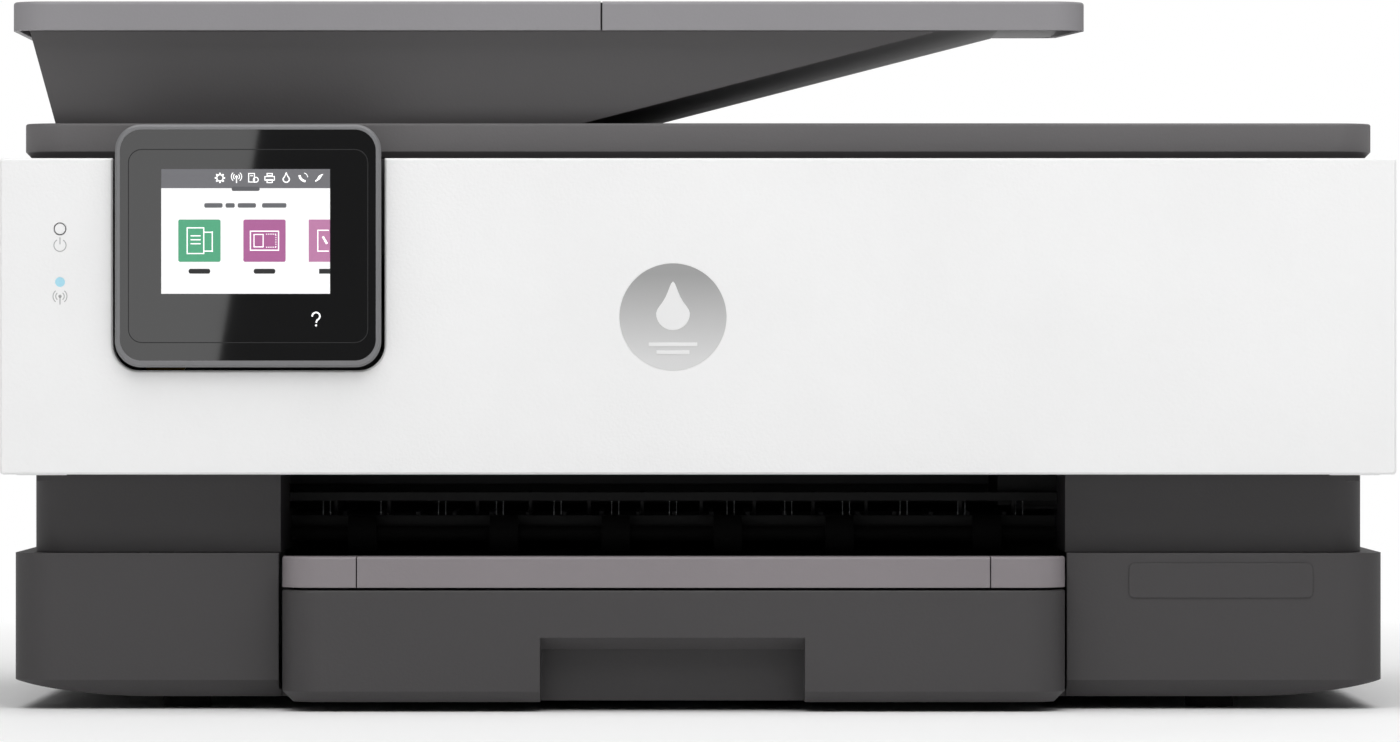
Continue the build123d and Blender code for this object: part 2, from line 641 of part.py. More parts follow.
# Feeder body: leaning walls, and a slope on the right that the copies come out under
slope_start = feeder_seam - 7.0
slope_end = feeder_right - 23.0
feeder_skirt = 2.0
feeder_inner_front = feeder_front + feeder_skirt + 2
feeder_inner_rear = feeder_rear - feeder_skirt - 2
slope_top = feeder_band + 6.6
pocket_left = feeder_left + 27.2
pocket_right = feeder_seam - 24.0
guide_slot_left = feeder_seam + 28.0
guide_slot_right = feeder_seam + 84.0
with BuildPart() as feeder_body:
    with BuildSketch(Plane.XZ.offset(-feeder_inner_rear)):
        with BuildLine():
            Polyline((feeder_left + 13.4, lid_top), (slope_start, lid_top), (slope_end, slope_top),
                     (feeder_left + 5.5, slope_top), (feeder_left + 5.5, feeder_band), (feeder_left + 13.4, lid_top))
        make_face()
    extrude(amount=feeder_inner_rear - feeder_inner_front)
    with BuildSketch(Plane.YZ.offset(-half_width)):
        with BuildLine():
            Polyline((feeder_inner_front - 1, lid_top - 1), (feeder_inner_front + 13, lid_top - 1),
                     (feeder_inner_front + 13, lid_top), (feeder_inner_front + 5, feeder_band),
                     (feeder_inner_front - 1, feeder_band), (feeder_inner_front - 1, lid_top - 1))
        make_face()
    extrude(amount=overall_width, mode=Mode.SUBTRACT)
    block(pocket_left, pocket_right, feeder_inner_front + 22, feeder_inner_rear - 12, lid_top + 8, slope_top + 1,
          Mode.SUBTRACT)
    block(guide_slot_left, guide_slot_right, feeder_inner_front + 22, feeder_inner_rear - 18, slope_top - 6.5, slope_top + 1, Mode.SUBTRACT)
save(feeder_body, "feeder_body")

# Feeder cover, hinged on the left, and the document tray, hinged at the seam
cover_top = overall_height
plate = cover_top - slope_top - 0.3
for name, x0, x1, open_left, open_right in (
        ("feeder_cover", feeder_left, feeder_seam - 0.3, 0, 10),
        ("document_tray", feeder_seam + 0.3, feeder_right, 10, 0)):
    with BuildPart() as band:
        with BuildSketch(Plane.XY.offset(feeder_band)):
            outline(feeder_left, feeder_right, feeder_front, feeder_rear, feeder_radius)
        extrude(amount=feeder_cover_height)
        fillet(band.faces().sort_by(Axis.Z)[-1].edges(), 1.0)
        with BuildSketch(Plane.XY.offset(feeder_band)):
            outline(feeder_left + feeder_skirt, feeder_right - feeder_skirt, feeder_front + feeder_skirt,
                    feeder_rear - feeder_skirt, feeder_radius - feeder_skirt - 1)
        extrude(amount=feeder_cover_height - plate, mode=Mode.SUBTRACT)
        block(x1, half_width, feeder_front - 1, feeder_rear + 1, feeder_band - 1, cover_top + 1, Mode.SUBTRACT)
        block(-half_width, x0, feeder_front - 1, feeder_rear + 1, feeder_band - 1, cover_top + 1, Mode.SUBTRACT)
        if name == "document_tray":
            # The skirt grows shallower towards the rear, so that the tray ends in a thin edge
            with BuildSketch(Plane.YZ.offset(x0 - 1)):
                with BuildLine():
                    Polyline((feeder_front + feeder_radius, feeder_band - 1), (feeder_rear + 1, feeder_band - 1),
                             (feeder_rear + 1, cover_top - plate), (feeder_front + feeder_radius, feeder_band),
                             close=True)
                make_face()
            extrude(amount=feeder_right - feeder_left, mode=Mode.SUBTRACT)
    save(band, name)

# Feeder rollers
pick_x = feeder_seam - 48.0
transport_x = feeder_seam - 98.0
roller_y0 = feeder_inner_front + 22.3
roller_y1 = feeder_inner_rear - 12.3
with BuildPart() as feeder_pick_roller:
    rod_along_y(pick_x, roller_y0, roller_y1, lid_top + 22, 3)
    rod_along_y(pick_x, roller_y0 + 70.7, roller_y0 + 120.7, lid_top + 22, 10)
save(feeder_pick_roller, "feeder_pick_roller")

with BuildPart() as feeder_transport_roller:
    rod_along_y(transport_x, roller_y0, roller_y1, lid_top + 22, 3)
    for centre_y in [roller_y0 + along for along in (40.7, 95.7, 150.7)]:
        rod_along_y(transport_x, centre_y - 12, centre_y + 12, lid_top + 22, 9)
save(feeder_transport_roller, "feeder_transport_roller")

for name, y0 in (("document_guide_front", feeder_inner_front + 22.5), ("document_guide_rear", feeder_inner_rear - 30.5)):
    with BuildPart() as document_guide:
        block(guide_slot_left + 2, guide_slot_right - 2, y0, y0 + 12, slope_top - 6.4, slope_top - 0.3)
        chamfer(document_guide.faces().sort_by(Axis.Z)[-1].edges().filter_by(Axis.Y), 1.5)
    save(document_guide, name)

# Paper tray: a body that slides on the base floor, and its front with a handle recess
body_left = tray_left + tray_body_inset
body_right = tray_right - tray_body_inset
tray_back_y = front + tray_front_depth
tray_floor = base_bottom + wall + sliding_clearance
tray_wall_top = tray_floor + tray_body_height
tray_body_rear = rear - tray_rear_gap
with BuildPart() as tray_body:
    block(body_left, body_right, tray_back_y, tray_body_rear, tray_floor, tray_wall_top)
    block(body_left + wall, body_right - wall, tray_back_y + wall, tray_body_rear - wall,
          tray_floor + thin_wall, tray_wall_top + 1, Mode.SUBTRACT)
    chamfer(tray_body.edges().filter_by(Axis.X).group_by(Axis.Y)[-1].sort_by(Axis.Z)[-1], 1.2)
save(tray_body, "tray_body")

with BuildPart() as tray_front:
    with BuildSketch(Plane.XY.offset(tray_front_bottom)):
        outline(tray_left, tray_right, front, front + 2 * tray_front_depth, corner_radius)
    extrude(amount=tray_front_top - tray_front_bottom)
    chamfer(tray_front.faces().sort_by(Axis.Z)[0].edges(), 3.5)
    fillet(tray_front.faces().sort_by(Axis.Z)[-1].edges(), 0.8)
    block(tray_left - 1, tray_right + 1, tray_back_y, rear, 0, overall_height, Mode.SUBTRACT)
    for x0, x1 in ((tray_left + wall, handle_left - wall), (handle_right + wall, tray_right - wall)):
        block(x0, x1, front + corner_radius, tray_back_y + 1, tray_front_bottom + 4, tray_front_top - wall,
              Mode.SUBTRACT)
    with BuildSketch(Plane.YZ.offset(handle_left)):
        with BuildLine():
            Polyline((front - 1, 0), (front + 17, 0), (front + 17, handle_top - 4), (front + 7, handle_top - 4),
                     (front, handle_top), (front - 1, handle_top), (front - 1, 0))
        make_face()
    extrude(amount=handle_right - handle_left, mode=Mode.SUBTRACT)
save(tray_front, "tray_front")

# Paper guides: each has a foot on the tray's floor and an upright plate
paper_width = 216.0
guide_floor = tray_floor + thin_wall + 0.2
guide_y = tray_back_y + 108.5
for side, name in ((-1, "paper_guide_left"), (1, "paper_guide_right")):
    plate_x = tray_centre + side * (paper_width / 2 + 1)
    with BuildPart() as paper_guide:
        x0, x1 = sorted((plate_x, plate_x - side * 26))
        block(x0, x1, guide_y - 32, guide_y + 32, guide_floor, guide_floor + 1.2)
        x0, x1 = sorted((plate_x, plate_x + side * 2.4))
        block(x0, x1, guide_y - 50, guide_y + 50, guide_floor, tray_wall_top - 1.5)
        fillet(paper_guide.edges().filter_by(Axis.X).group_by(Axis.Z)[-1], 5)
    save(paper_guide, name)

length_guide_y = tray_back_y + wall + 1.5
with BuildPart() as paper_length_guide:
    block(tray_centre - 20, tray_centre + 20, length_guide_y, length_guide_y + 2.4, guide_floor, tray_wall_top - 1.5)
    block(tray_centre - 14, tray_centre + 14, length_guide_y, length_guide_y + 24, guide_floor, guide_floor + 1.2)
save(paper_length_guide, "paper_length_guide")

# Output tray above the paper tray, with an extender in the middle of its lip
lip_bottom = tray_front_top + 0.8
lip_top = lip_bottom + output_lip_height
lip_depth = 16.0
seam_left = tray_left + output_seam_inset
seam_right = tray_right - output_seam_inset
output_rear = eject_y + 30
deck_top = lip_bottom + 6.4
with BuildPart() as output_tray:
    with BuildSketch(Plane.XY.offset(lip_bottom)):
        outline(tray_left, tray_right, front, front + 2 * tray_front_depth, corner_radius)
    extrude(amount=output_lip_height)
    fillet(output_tray.faces().sort_by(Axis.Z)[-1].edges(), 0.8)
    block(tray_left - 1, tray_right + 1, front + lip_depth, rear, 0, overall_height, Mode.SUBTRACT)
    block(tray_left, tray_right, front + lip_depth, output_rear, lip_bottom, deck_top)
    block(seam_left - 0.4, seam_right + 0.4, front - 1, output_rear - 14, lip_bottom + 2, deck_top - 1.2,
          Mode.SUBTRACT)
    block(seam_left - 0.4, seam_right + 0.4, front - 1, front + lip_depth + 0.4, lip_bottom - 1, lip_top + 1,
          Mode.SUBTRACT)
save(output_tray, "output_tray")

with BuildPart() as output_extender:
    with BuildSketch(Plane.XY.offset(lip_bottom)):
        outline(tray_left, tray_right, front, front + 2 * tray_front_depth, corner_radius)
    extrude(amount=output_lip_height)
    fillet(output_extender.faces().sort_by(Axis.Z)[-1].edges(), 0.8)
    block(tray_left - 1, tray_right + 1, front + lip_depth, rear, 0, overall_height, Mode.SUBTRACT)
    for x0, x1 in ((tray_left - 1, seam_left), (seam_right, tray_right + 1)):
        block(x0, x1, front - 1, rear, 0, overall_height, Mode.SUBTRACT)
    block(seam_left, seam_right, front + lip_depth, output_rear - 16, lip_bottom + 2.3, deck_top - 1.5)
save(output_extender, "output_extender")

# Service station under the parked carriage
station_left = bay_right + wall + 2
with BuildPart() as service_station:
    block(station_left, frame_half - 2, carriage_front + 4, carriage_front + 80, base_bottom + wall, carriage_bottom - 7)
    with Locations((carriage_park + 15, carriage_front + 42, carriage_bottom - 7)):
        with GridLocations(18, 1, 4, 1):
            Box(14, 44, 6)
save(service_station, "service_station")

# Electronics: power supply and its inlet at the left rear, main board and its sockets at the right
with BuildPart() as power_supply:
    block(-frame_half + 4, -frame_half + 58, middle_rear - 46, middle_rear - wall - 2, base_bottom + wall, socket_z + 24)
    fillet(power_supply.edges().filter_by(Axis.Z), 2)
    block(inlet_x - 14, inlet_x + 14, rear - 32.5, rear, socket_z - 10, socket_z + 10, Mode.SUBTRACT)
save(power_supply, "power_supply")

with BuildPart() as power_inlet:
    block(inlet_x - 14, inlet_x + 14, rear - 32.5, rear, socket_z - 10, socket_z + 10)
    with BuildSketch(Plane.XZ.offset(-rear + 15)):
        with Locations((inlet_x, socket_z)):
            SlotOverall(20, 12)
    extrude(amount=-16, mode=Mode.SUBTRACT)
    for pin_x in (inlet_x - 4.5, inlet_x + 4.5):
        rod_along_y(pin_x, rear - 16, rear - 4, socket_z, 1.2)
save(power_inlet, "power_inlet")

with BuildPart() as main_board:
    block(socket_x - 30, socket_x + 30, rear - 104.5, rear - 10.5, socket_z - 12.6, socket_z - 11)
    for chip_x, chip_y in ((socket_x - 10, rear - 80.5), (socket_x + 12, rear - 58.5), (socket_x - 12, rear - 46.5)):
        block(chip_x - 7, chip_x + 7, chip_y - 7, chip_y + 7, socket_z - 11, socket_z - 9)
    for post_x in (socket_x - 24, socket_x + 24):
        with Locations((post_x, rear - 30.5, (base_bottom + wall + socket_z - 12.6) / 2)):
            Cylinder(3, socket_z - 12.6 - base_bottom - wall)
save(main_board, "main_board")

with BuildPart() as data_sockets:
    block(socket_x - 26, socket_x + 26, rear - 28.5, rear, socket_z - 10, socket_z + 10)
    block(socket_x - 21, socket_x - 8, rear - 12, rear + 1, socket_z - 5.5, socket_z + 5.5, Mode.SUBTRACT)
    block(socket_x + 5, socket_x + 20, rear - 12, rear + 1, socket_z - 7, socket_z + 6, Mode.SUBTRACT)
save(data_sockets, "data_sockets")
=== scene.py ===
import bpy, bmesh, math
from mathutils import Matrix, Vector


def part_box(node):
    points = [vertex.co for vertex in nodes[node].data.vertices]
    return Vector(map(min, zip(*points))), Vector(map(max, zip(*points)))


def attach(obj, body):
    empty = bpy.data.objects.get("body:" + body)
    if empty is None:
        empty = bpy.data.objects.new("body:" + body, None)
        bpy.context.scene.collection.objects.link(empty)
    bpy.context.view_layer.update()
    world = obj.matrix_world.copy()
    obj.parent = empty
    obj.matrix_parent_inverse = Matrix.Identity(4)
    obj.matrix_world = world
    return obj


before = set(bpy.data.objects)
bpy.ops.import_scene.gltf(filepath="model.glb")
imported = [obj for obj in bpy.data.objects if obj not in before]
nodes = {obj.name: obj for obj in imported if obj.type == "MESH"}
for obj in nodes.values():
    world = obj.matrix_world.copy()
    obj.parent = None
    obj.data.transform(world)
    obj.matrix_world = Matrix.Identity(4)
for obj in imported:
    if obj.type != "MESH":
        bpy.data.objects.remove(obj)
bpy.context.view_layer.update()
mm = 0.001
print("frame loaded:", len(nodes), "nodes")


def hexColour(text):
    # sRGB hex to the linear values that the shader works in
    channels = [int(text[i:i + 2], 16) / 255 for i in (1, 3, 5)]
    linear = [c / 12.92 if c <= 0.04045 else ((c + 0.055) / 1.055) ** 2.4 for c in channels]
    return (*linear, 1.0)


def addNode(tree, kind, links=None, **settings):
    # adds one node; settings are its properties or its inputs, links are socket name -> source socket
    node = tree.nodes.new(kind)
    for key, value in settings.items():
        if key in node.inputs.keys():
            node.inputs[key].default_value = value
        elif hasattr(node, key):
            setattr(node, key, value)
        else:
            node.inputs[key.replace("_", " ")].default_value = value
    for key, source in (links or {}).items():
        tree.links.new(source, node.inputs[key])
    return node


def newMaterial(name):
    material = bpy.data.materials.new(name)
    material.use_nodes = True
    tree = material.node_tree
    tree.nodes.clear()
    shader = addNode(tree, "ShaderNodeBsdfPrincipled")
    addNode(tree, "ShaderNodeOutputMaterial", {"Surface": shader.outputs[0]})
    return material, tree, shader


def ramp(tree, source, stops):
    node = addNode(tree, "ShaderNodeValToRGB", {"Fac": source})
    elements = node.color_ramp.elements
    while len(elements) < len(stops):
        elements.new(0.5)
    for element, (place, colour) in zip(elements, stops):
        element.position = place
        element.color = colour
    return node


def mouldedPlastic(name, colour, roughness=0.5, grain=0.9, depth=0.05, edge=0.5, edgeTint=1.25, specular=0.5,
                   drift=0.02):
    # ABS or HIPS, injection moulded: spark-eroded grain, corners that catch light and are painted paler (partly wear,
    # partly a painted highlight), colour drifting a little
    material, tree, shader = newMaterial(name)
    base = hexColour(colour)
    place = addNode(tree, "ShaderNodeTexCoord")
    scaled = addNode(tree, "ShaderNodeMapping", {"Vector": place.outputs["Object"]}, Scale=(1 / mm,) * 3)
    fine = addNode(tree, "ShaderNodeTexNoise", {"Vector": scaled.outputs[0]}, Scale=1 / grain, Detail=3.0)
    cloud = addNode(tree, "ShaderNodeTexNoise", {"Vector": scaled.outputs[0]}, Scale=1 / 60, Detail=4.0)
    pale = tuple(min(1, c * (1 + drift)) for c in base[:3]) + (1,)
    deep = tuple(c * (1 - drift) for c in base[:3]) + (1,)
    drifted = ramp(tree, cloud.outputs["Fac"], [(0.35, deep), (0.65, pale)])
    # the rounded normal also finds the edges: where it leaves the flat normal, the colour is painted paler, partly as
    # edge wear and partly as a painted highlight
    rounded = addNode(tree, "ShaderNodeBevel", samples=4, Radius=edge * mm)
    flat = addNode(tree, "ShaderNodeNewGeometry")
    facing = addNode(tree, "ShaderNodeVectorMath", {0: rounded.outputs[0], 1: flat.outputs["Normal"]},
                     operation="DOT_PRODUCT")
    edgeWearAndHighlightMask = ramp(tree, facing.outputs["Value"], [(0.80, (1, 1, 1, 1)), (0.995, (0, 0, 0, 1))])
    # paler edge colour: partly wear, partly a painted highlight
    edgeWearAndHighlightColour = tuple(min(1, c * edgeTint) for c in base[:3]) + (1,)
    mixed = addNode(tree, "ShaderNodeMix", data_type="RGBA")
    tree.links.new(edgeWearAndHighlightMask.outputs["Color"], mixed.inputs["Factor"])
    tree.links.new(drifted.outputs["Color"], mixed.inputs[6])
    mixed.inputs[7].default_value = edgeWearAndHighlightColour
    tree.links.new(mixed.outputs[2], shader.inputs["Base Color"])
    rough = addNode(tree, "ShaderNodeMapRange", {"Value": fine.outputs["Fac"]})
    rough.inputs["To Min"].default_value = roughness - 0.06
    rough.inputs["To Max"].default_value = roughness + 0.06
    tree.links.new(rough.outputs[0], shader.inputs["Roughness"])
    bump = addNode(tree, "ShaderNodeBump", {"Height": fine.outputs["Fac"], "Normal": rounded.outputs[0]},
                   Strength=1.0, Distance=depth * mm)
    tree.links.new(bump.outputs[0], shader.inputs["Normal"])
    shader.inputs["IOR"].default_value = 1.5
    shader.inputs["Specular IOR Level"].default_value = specular
    return material


def groundSteel(name, colour, roughness=0.3):
    # rolled or ground steel: fine lines one way, brighter and duller streaks
    material, tree, shader = newMaterial(name)
    base = hexColour(colour)
    place = addNode(tree, "ShaderNodeTexCoord")
    lines = addNode(tree, "ShaderNodeMapping", {"Vector": place.outputs["Object"]},
                    Scale=(30, 1200, 1200))
    streak = addNode(tree, "ShaderNodeTexNoise", {"Vector": lines.outputs[0]}, Scale=1.0, Detail=5.0)
    tone = ramp(tree, streak.outputs["Fac"], [(0.3, tuple(c * 0.8 for c in base[:3]) + (1,)), (0.7, base)])
    tree.links.new(tone.outputs["Color"], shader.inputs["Base Color"])
    rough = addNode(tree, "ShaderNodeMapRange", {"Value": streak.outputs["Fac"]})
    rough.inputs["To Min"].default_value = roughness - 0.08
    rough.inputs["To Max"].default_value = roughness + 0.08
    tree.links.new(rough.outputs[0], shader.inputs["Roughness"])
    rounded = addNode(tree, "ShaderNodeBevel", samples=4, Radius=0.3 * mm)
    bump = addNode(tree, "ShaderNodeBump", {"Height": streak.outputs["Fac"], "Normal": rounded.outputs[0]},
                   Strength=0.6, Distance=0.02 * mm)
    tree.links.new(bump.outputs[0], shader.inputs["Normal"])
    shader.inputs["Metallic"].default_value = 1.0
    return material


def printedInk(name, colour, glow=0.0, roughness=0.45):
    # pad-printed ink or a lit screen colour: even, with a faint mottle
    material, tree, shader = newMaterial(name)
    base = hexColour(colour)
    place = addNode(tree, "ShaderNodeTexCoord")
    mottle = addNode(tree, "ShaderNodeTexNoise", {"Vector": place.outputs["Object"]}, Scale=900.0, Detail=2.0)
    tone = ramp(tree, mottle.outputs["Fac"], [(0.3, tuple(c * 0.97 for c in base[:3]) + (1,)), (0.7, base)])
    tree.links.new(tone.outputs["Color"], shader.inputs["Base Color"])
    shader.inputs["Roughness"].default_value = roughness
    if glow:
        tree.links.new(tone.outputs["Color"], shader.inputs["Emission Color"])
        shader.inputs["Emission Strength"].default_value = glow
    return material


def rubber(name):
    # ground EPDM roller rubber: matt, with a slightly sandy face
    return mouldedPlastic(name, "#161616", roughness=0.8, grain=0.5, depth=0.08, edge=0.4, edgeTint=1.4, specular=0.3)


def blackGlass(name):
    # cover glass printed black behind: almost mirror smooth, a deep neutral black
    material, tree, shader = newMaterial(name)
    place = addNode(tree, "ShaderNodeTexCoord")
    smear = addNode(tree, "ShaderNodeTexNoise", {"Vector": place.outputs["Object"]}, Scale=60.0, Detail=3.0)
    rough = addNode(tree, "ShaderNodeMapRange", {"Value": smear.outputs["Fac"]})
    rough.inputs["To Min"].default_value = 0.01
    rough.inputs["To Max"].default_value = 0.025
    tree.links.new(rough.outputs[0], shader.inputs["Roughness"])
    shader.inputs["Base Color"].default_value = hexColour("#060607")
    shader.inputs["IOR"].default_value = 1.52
    return material


def clearGlass(name):
    # float glass of the flatbed: clear, faintly green
    material, tree, shader = newMaterial(name)
    place = addNode(tree, "ShaderNodeTexCoord")
    dust = addNode(tree, "ShaderNodeTexNoise", {"Vector": place.outputs["Object"]}, Scale=400.0, Detail=4.0)
    rough = addNode(tree, "ShaderNodeMapRange", {"Value": dust.outputs["Fac"]})
    rough.inputs["To Min"].default_value = 0.02
    rough.inputs["To Max"].default_value = 0.08
    tree.links.new(rough.outputs[0], shader.inputs["Roughness"])
    shader.inputs["Base Color"].default_value = hexColour("#d5e8e2")
    shader.inputs["Transmission Weight"].default_value = 0.85
    shader.inputs["IOR"].default_value = 1.52
    return material


def satinFoil(name, node, lowColour, highColour):
    # hot-stamped foil over a domed die, with a painted reflection in its colour: paler at the bottom, darker and
    # duller towards the top, as if it mirrors a darker room above
    material, tree, shader = newMaterial(name)
    low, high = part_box(node)
    place = addNode(tree, "ShaderNodeTexCoord")
    height = addNode(tree, "ShaderNodeSeparateXYZ", {"Vector": place.outputs["Object"]})
    share = addNode(tree, "ShaderNodeMapRange", {"Value": height.outputs["Z"]})
    share.inputs["From Min"].default_value = low.z
    share.inputs["From Max"].default_value = high.z
    tone = ramp(tree, share.outputs[0], [(0.1, hexColour(lowColour)), (0.9, hexColour(highColour))])
    tree.links.new(tone.outputs["Color"], shader.inputs["Base Color"])
    grain = addNode(tree, "ShaderNodeTexNoise", {"Vector": place.outputs["Object"]}, Scale=1500.0, Detail=2.0)
    rough = addNode(tree, "ShaderNodeMapRange", {"Value": grain.outputs["Fac"]})
    rough.inputs["To Min"].default_value = 0.4
    rough.inputs["To Max"].default_value = 0.5
    tree.links.new(rough.outputs[0], shader.inputs["Roughness"])
    shader.inputs["Metallic"].default_value = 0.25
    return material


looks = {
    "base": mouldedPlastic("charcoal ABS, base", "#3f3d3e", roughness=0.55, depth=0.06),
    "middle": mouldedPlastic("charcoal ABS, middle", "#424041", roughness=0.55, depth=0.06),
    "lid": mouldedPlastic("grey ABS, scanner lid", "#6b696a", roughness=0.5, depth=0.05),
    "feederBody": mouldedPlastic("charcoal ABS, feeder", "#545253", roughness=0.5, depth=0.05),
    "feederBand": mouldedPlastic("light grey ABS, feeder cover", "#8e8c8f", roughness=0.45, depth=0.04),
    "outputLip": mouldedPlastic("warm grey ABS, output tray", "#868083", roughness=0.45, depth=0.04),
    "white": mouldedPlastic("white ABS, door and sides", "#f5f5f5", roughness=0.55, grain=1.1, depth=0.09,
                            edgeTint=1.03, drift=0.012),
    "inner": mouldedPlastic("black HIPS, inner parts", "#0f0f10", roughness=0.6, depth=0.05, edgeTint=1.6),
    "bed": mouldedPlastic("dark grey ABS, scanner bezel", "#3a393a", roughness=0.6, depth=0.06),
    "guide": mouldedPlastic("mid grey acetal, paper guides", "#6b6b6e", roughness=0.4, depth=0.02),
    "silver": mouldedPlastic("silver paint on ABS, panel frame", "#78787a", roughness=0.35, grain=0.3, depth=0.02,
                             edgeTint=1.2),
    "rubber": rubber("ground EPDM rubber"),
    "steel": groundSteel("galvanised sheet steel", "#b9bbbd", roughness=0.38),
    "blackSteel": mouldedPlastic("black passivated sheet steel", "#121213", roughness=0.45, edgeTint=2.0),
    "emblem": satinFoil("satin silver foil", "door_emblem", "#dedede", "#a4a4a4"),
    "rod": groundSteel("ground steel rod", "#d4d6d8", roughness=0.16),
    "brass": groundSteel("sintered brass pulley", "#6e5a34", roughness=0.35),
    "glass": clearGlass("float glass"),
    "blackGlass": blackGlass("black cover glass"),
    "lens": printedInk("frosted blue lens", "#9acadb", glow=0.25, roughness=0.3),
    "foam": mouldedPlastic("white polyester film on foam", "#f2f2f0", roughness=0.5, grain=3.0, depth=0.05,
                           drift=0.01, edgeTint=1.0),
    "board": mouldedPlastic("green solder mask", "#1f5a34", roughness=0.3, grain=0.6, depth=0.02),
    "blackInk": mouldedPlastic("black polypropylene cartridge", "#2a2a2b", roughness=0.4),
    "cyanInk": mouldedPlastic("cyan polypropylene cartridge", "#1b8fc4", roughness=0.4),
    "magentaInk": mouldedPlastic("magenta polypropylene cartridge", "#c2307c", roughness=0.4),
    "yellowInk": mouldedPlastic("yellow polypropylene cartridge", "#e2c022", roughness=0.4),
}

nodeLooks = {
    "base": "base_tub tray_front nameplate", "middle": "middle_housing rear_cover rear_access_door",
    "lid": "scanner_lid", "feederBody": "feeder_body", "feederBand": "feeder_cover document_tray",
    "outputLip": "output_tray output_extender", "white": "front_door left_side_panel right_side_panel power_button",
    "inner": "door_liner platen print_carriage service_station scan_head star_wheel_bar power_inlet data_sockets"
             " panel_back tray_body",
    "bed": "scanner_bed", "silver": "panel_frame", "lens": "wireless_light", "foam": "lid_backing",
    "guide": "paper_guide_left paper_guide_right paper_length_guide document_guide_front document_guide_rear",
    "rubber": "rubber_feet feed_roller eject_roller feeder_pick_roller feeder_transport_roller carriage_belt"
              " feed_belt",
    "emblem": "door_emblem", "blackSteel": "mechanism_frame",
    "steel": "power_supply carriage_motor feed_motor", "rod": "carriage_rod scan_rod",
    "brass": "drive_pulley idler_pulley feed_motor_pulley", "glass": "scanner_glass",
    "blackGlass": "touch_glass display_module", "board": "main_board", "blackInk": "black_cartridge",
    "cyanInk": "cyan_cartridge", "magentaInk": "magenta_cartridge", "yellowInk": "yellow_cartridge",
}
for look, names in nodeLooks.items():
    for name in names.split():
        mesh = nodes[name].data
        mesh.materials.clear()
        mesh.materials.append(looks[look])
print("materials on", len(nodes), "nodes")


camera = {"distance": 2.8, "height": 0.1117, "side": 0.0006, "lens": 218.6}
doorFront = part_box("front_door")[0].y
cameraData = bpy.data.cameras.new("camera")
cameraData.sensor_width = 36
cameraData.lens = camera["lens"]
cameraData.clip_end = 50
cameraObject = bpy.data.objects.new("camera", cameraData)
cameraObject.location = (camera["side"], doorFront - camera["distance"], camera["height"])
cameraObject.rotation_euler = (math.radians(90), 0, 0)
bpy.context.scene.collection.objects.link(cameraObject)
bpy.context.scene.camera = cameraObject

world = bpy.data.worlds.new("studio")
world.use_nodes = True
# the lens sees plain white behind the printer, while the room's own light stays soft and low
studio = {"roomLight": 0.22, "backdrop": 1.0}
back = world.node_tree.nodes["Background"]
back.inputs["Color"].default_value = (1, 1, 1, 1)
seen = addNode(world.node_tree, "ShaderNodeLightPath")
strength = addNode(world.node_tree, "ShaderNodeMapRange", {"Value": seen.outputs["Is Camera Ray"]})
strength.inputs["To Min"].default_value = studio["roomLight"]
strength.inputs["To Max"].default_value = studio["backdrop"]
world.node_tree.links.new(strength.outputs[0], back.inputs["Strength"])
bpy.context.scene.world = world
bpy.context.scene.view_settings.view_transform = "Standard"


def softbox(name, place, target, size, power):
    light = bpy.data.lights.new(name, "AREA")
    light.shape = "RECTANGLE"
    light.size, light.size_y = size
    light.energy = power
    lamp = bpy.data.objects.new(name, light)
    lamp.location = place
    lamp.rotation_euler = (Vector(target) - Vector(place)).to_track_quat("-Z", "Y").to_euler()
    bpy.context.scene.collection.objects.link(lamp)
    return lamp


softbox("topSoftbox", (0, -0.5, 1.8), (0, 0, 0.1), (2.4, 1.8), 26)
softbox("frontSoftbox", (0.2, -2.4, 2.0), (0, 0, 0.1), (2.6, 1.4), 26)
softbox("rearSoftbox", (0.4, 2.4, 1.8), (0, 0, 0.1), (2.4, 1.4), 18)
# a tall card behind the lens, leaning a little, that the panel's glass mirrors on its left half
card = softbox("panelCard", (-0.531, -3.6, 0.26), (-0.531, 0, 0.26), (0.4, 0.7), 1.9)
card.rotation_euler = (math.radians(90), math.radians(9.8), 0)

bpy.ops.mesh.primitive_circle_add(vertices=96, radius=14, fill_type="NGON", location=(0, 0, -0.0002))
floor = bpy.context.object
floor.name = "studioFloor"
floorLook, floorTree, floorShader = newMaterial("matt white paper floor")
paper = addNode(floorTree, "ShaderNodeTexNoise", Scale=40.0)
floorTone = ramp(floorTree, paper.outputs["Fac"], [(0.3, hexColour("#f4f4f4")), (0.7, hexColour("#f8f8f8"))])
floorTree.links.new(floorTone.outputs["Color"], floorShader.inputs["Base Color"])
floorShader.inputs["Roughness"].default_value = 0.7
# further out the paper sweep is lit to plain white, so that no horizon shows
floorPlace = addNode(floorTree, "ShaderNodeTexCoord")
reach = addNode(floorTree, "ShaderNodeVectorMath", {0: floorPlace.outputs["Object"]}, operation="LENGTH")
fade = addNode(floorTree, "ShaderNodeMapRange", {"Value": reach.outputs["Value"]})
fade.inputs["From Min"].default_value = 0.25
fade.inputs["From Max"].default_value = 0.9
sweep = addNode(floorTree, "ShaderNodeEmission", Strength=1.0)
sweep.inputs["Color"].default_value = (1, 1, 1, 1)
blend = addNode(floorTree, "ShaderNodeMixShader", {"Fac": fade.outputs[0]})
floorTree.links.new(floorShader.outputs[0], blend.inputs[1])
floorTree.links.new(sweep.outputs[0], blend.inputs[2])
floorOutput = [node for node in floorTree.nodes if node.type == "OUTPUT_MATERIAL"][0]
floorTree.links.new(blend.outputs[0], floorOutput.inputs["Surface"])
floor.data.materials.append(floorLook)
print("camera, light and floor ready")


def finish(obj, look, body, smooth=False):
    obj.data.materials.clear()
    obj.data.materials.append(looks[look])
    for face in obj.data.polygons:
        face.use_smooth = smooth
        face.material_index = 0
    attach(obj, body)
    return obj


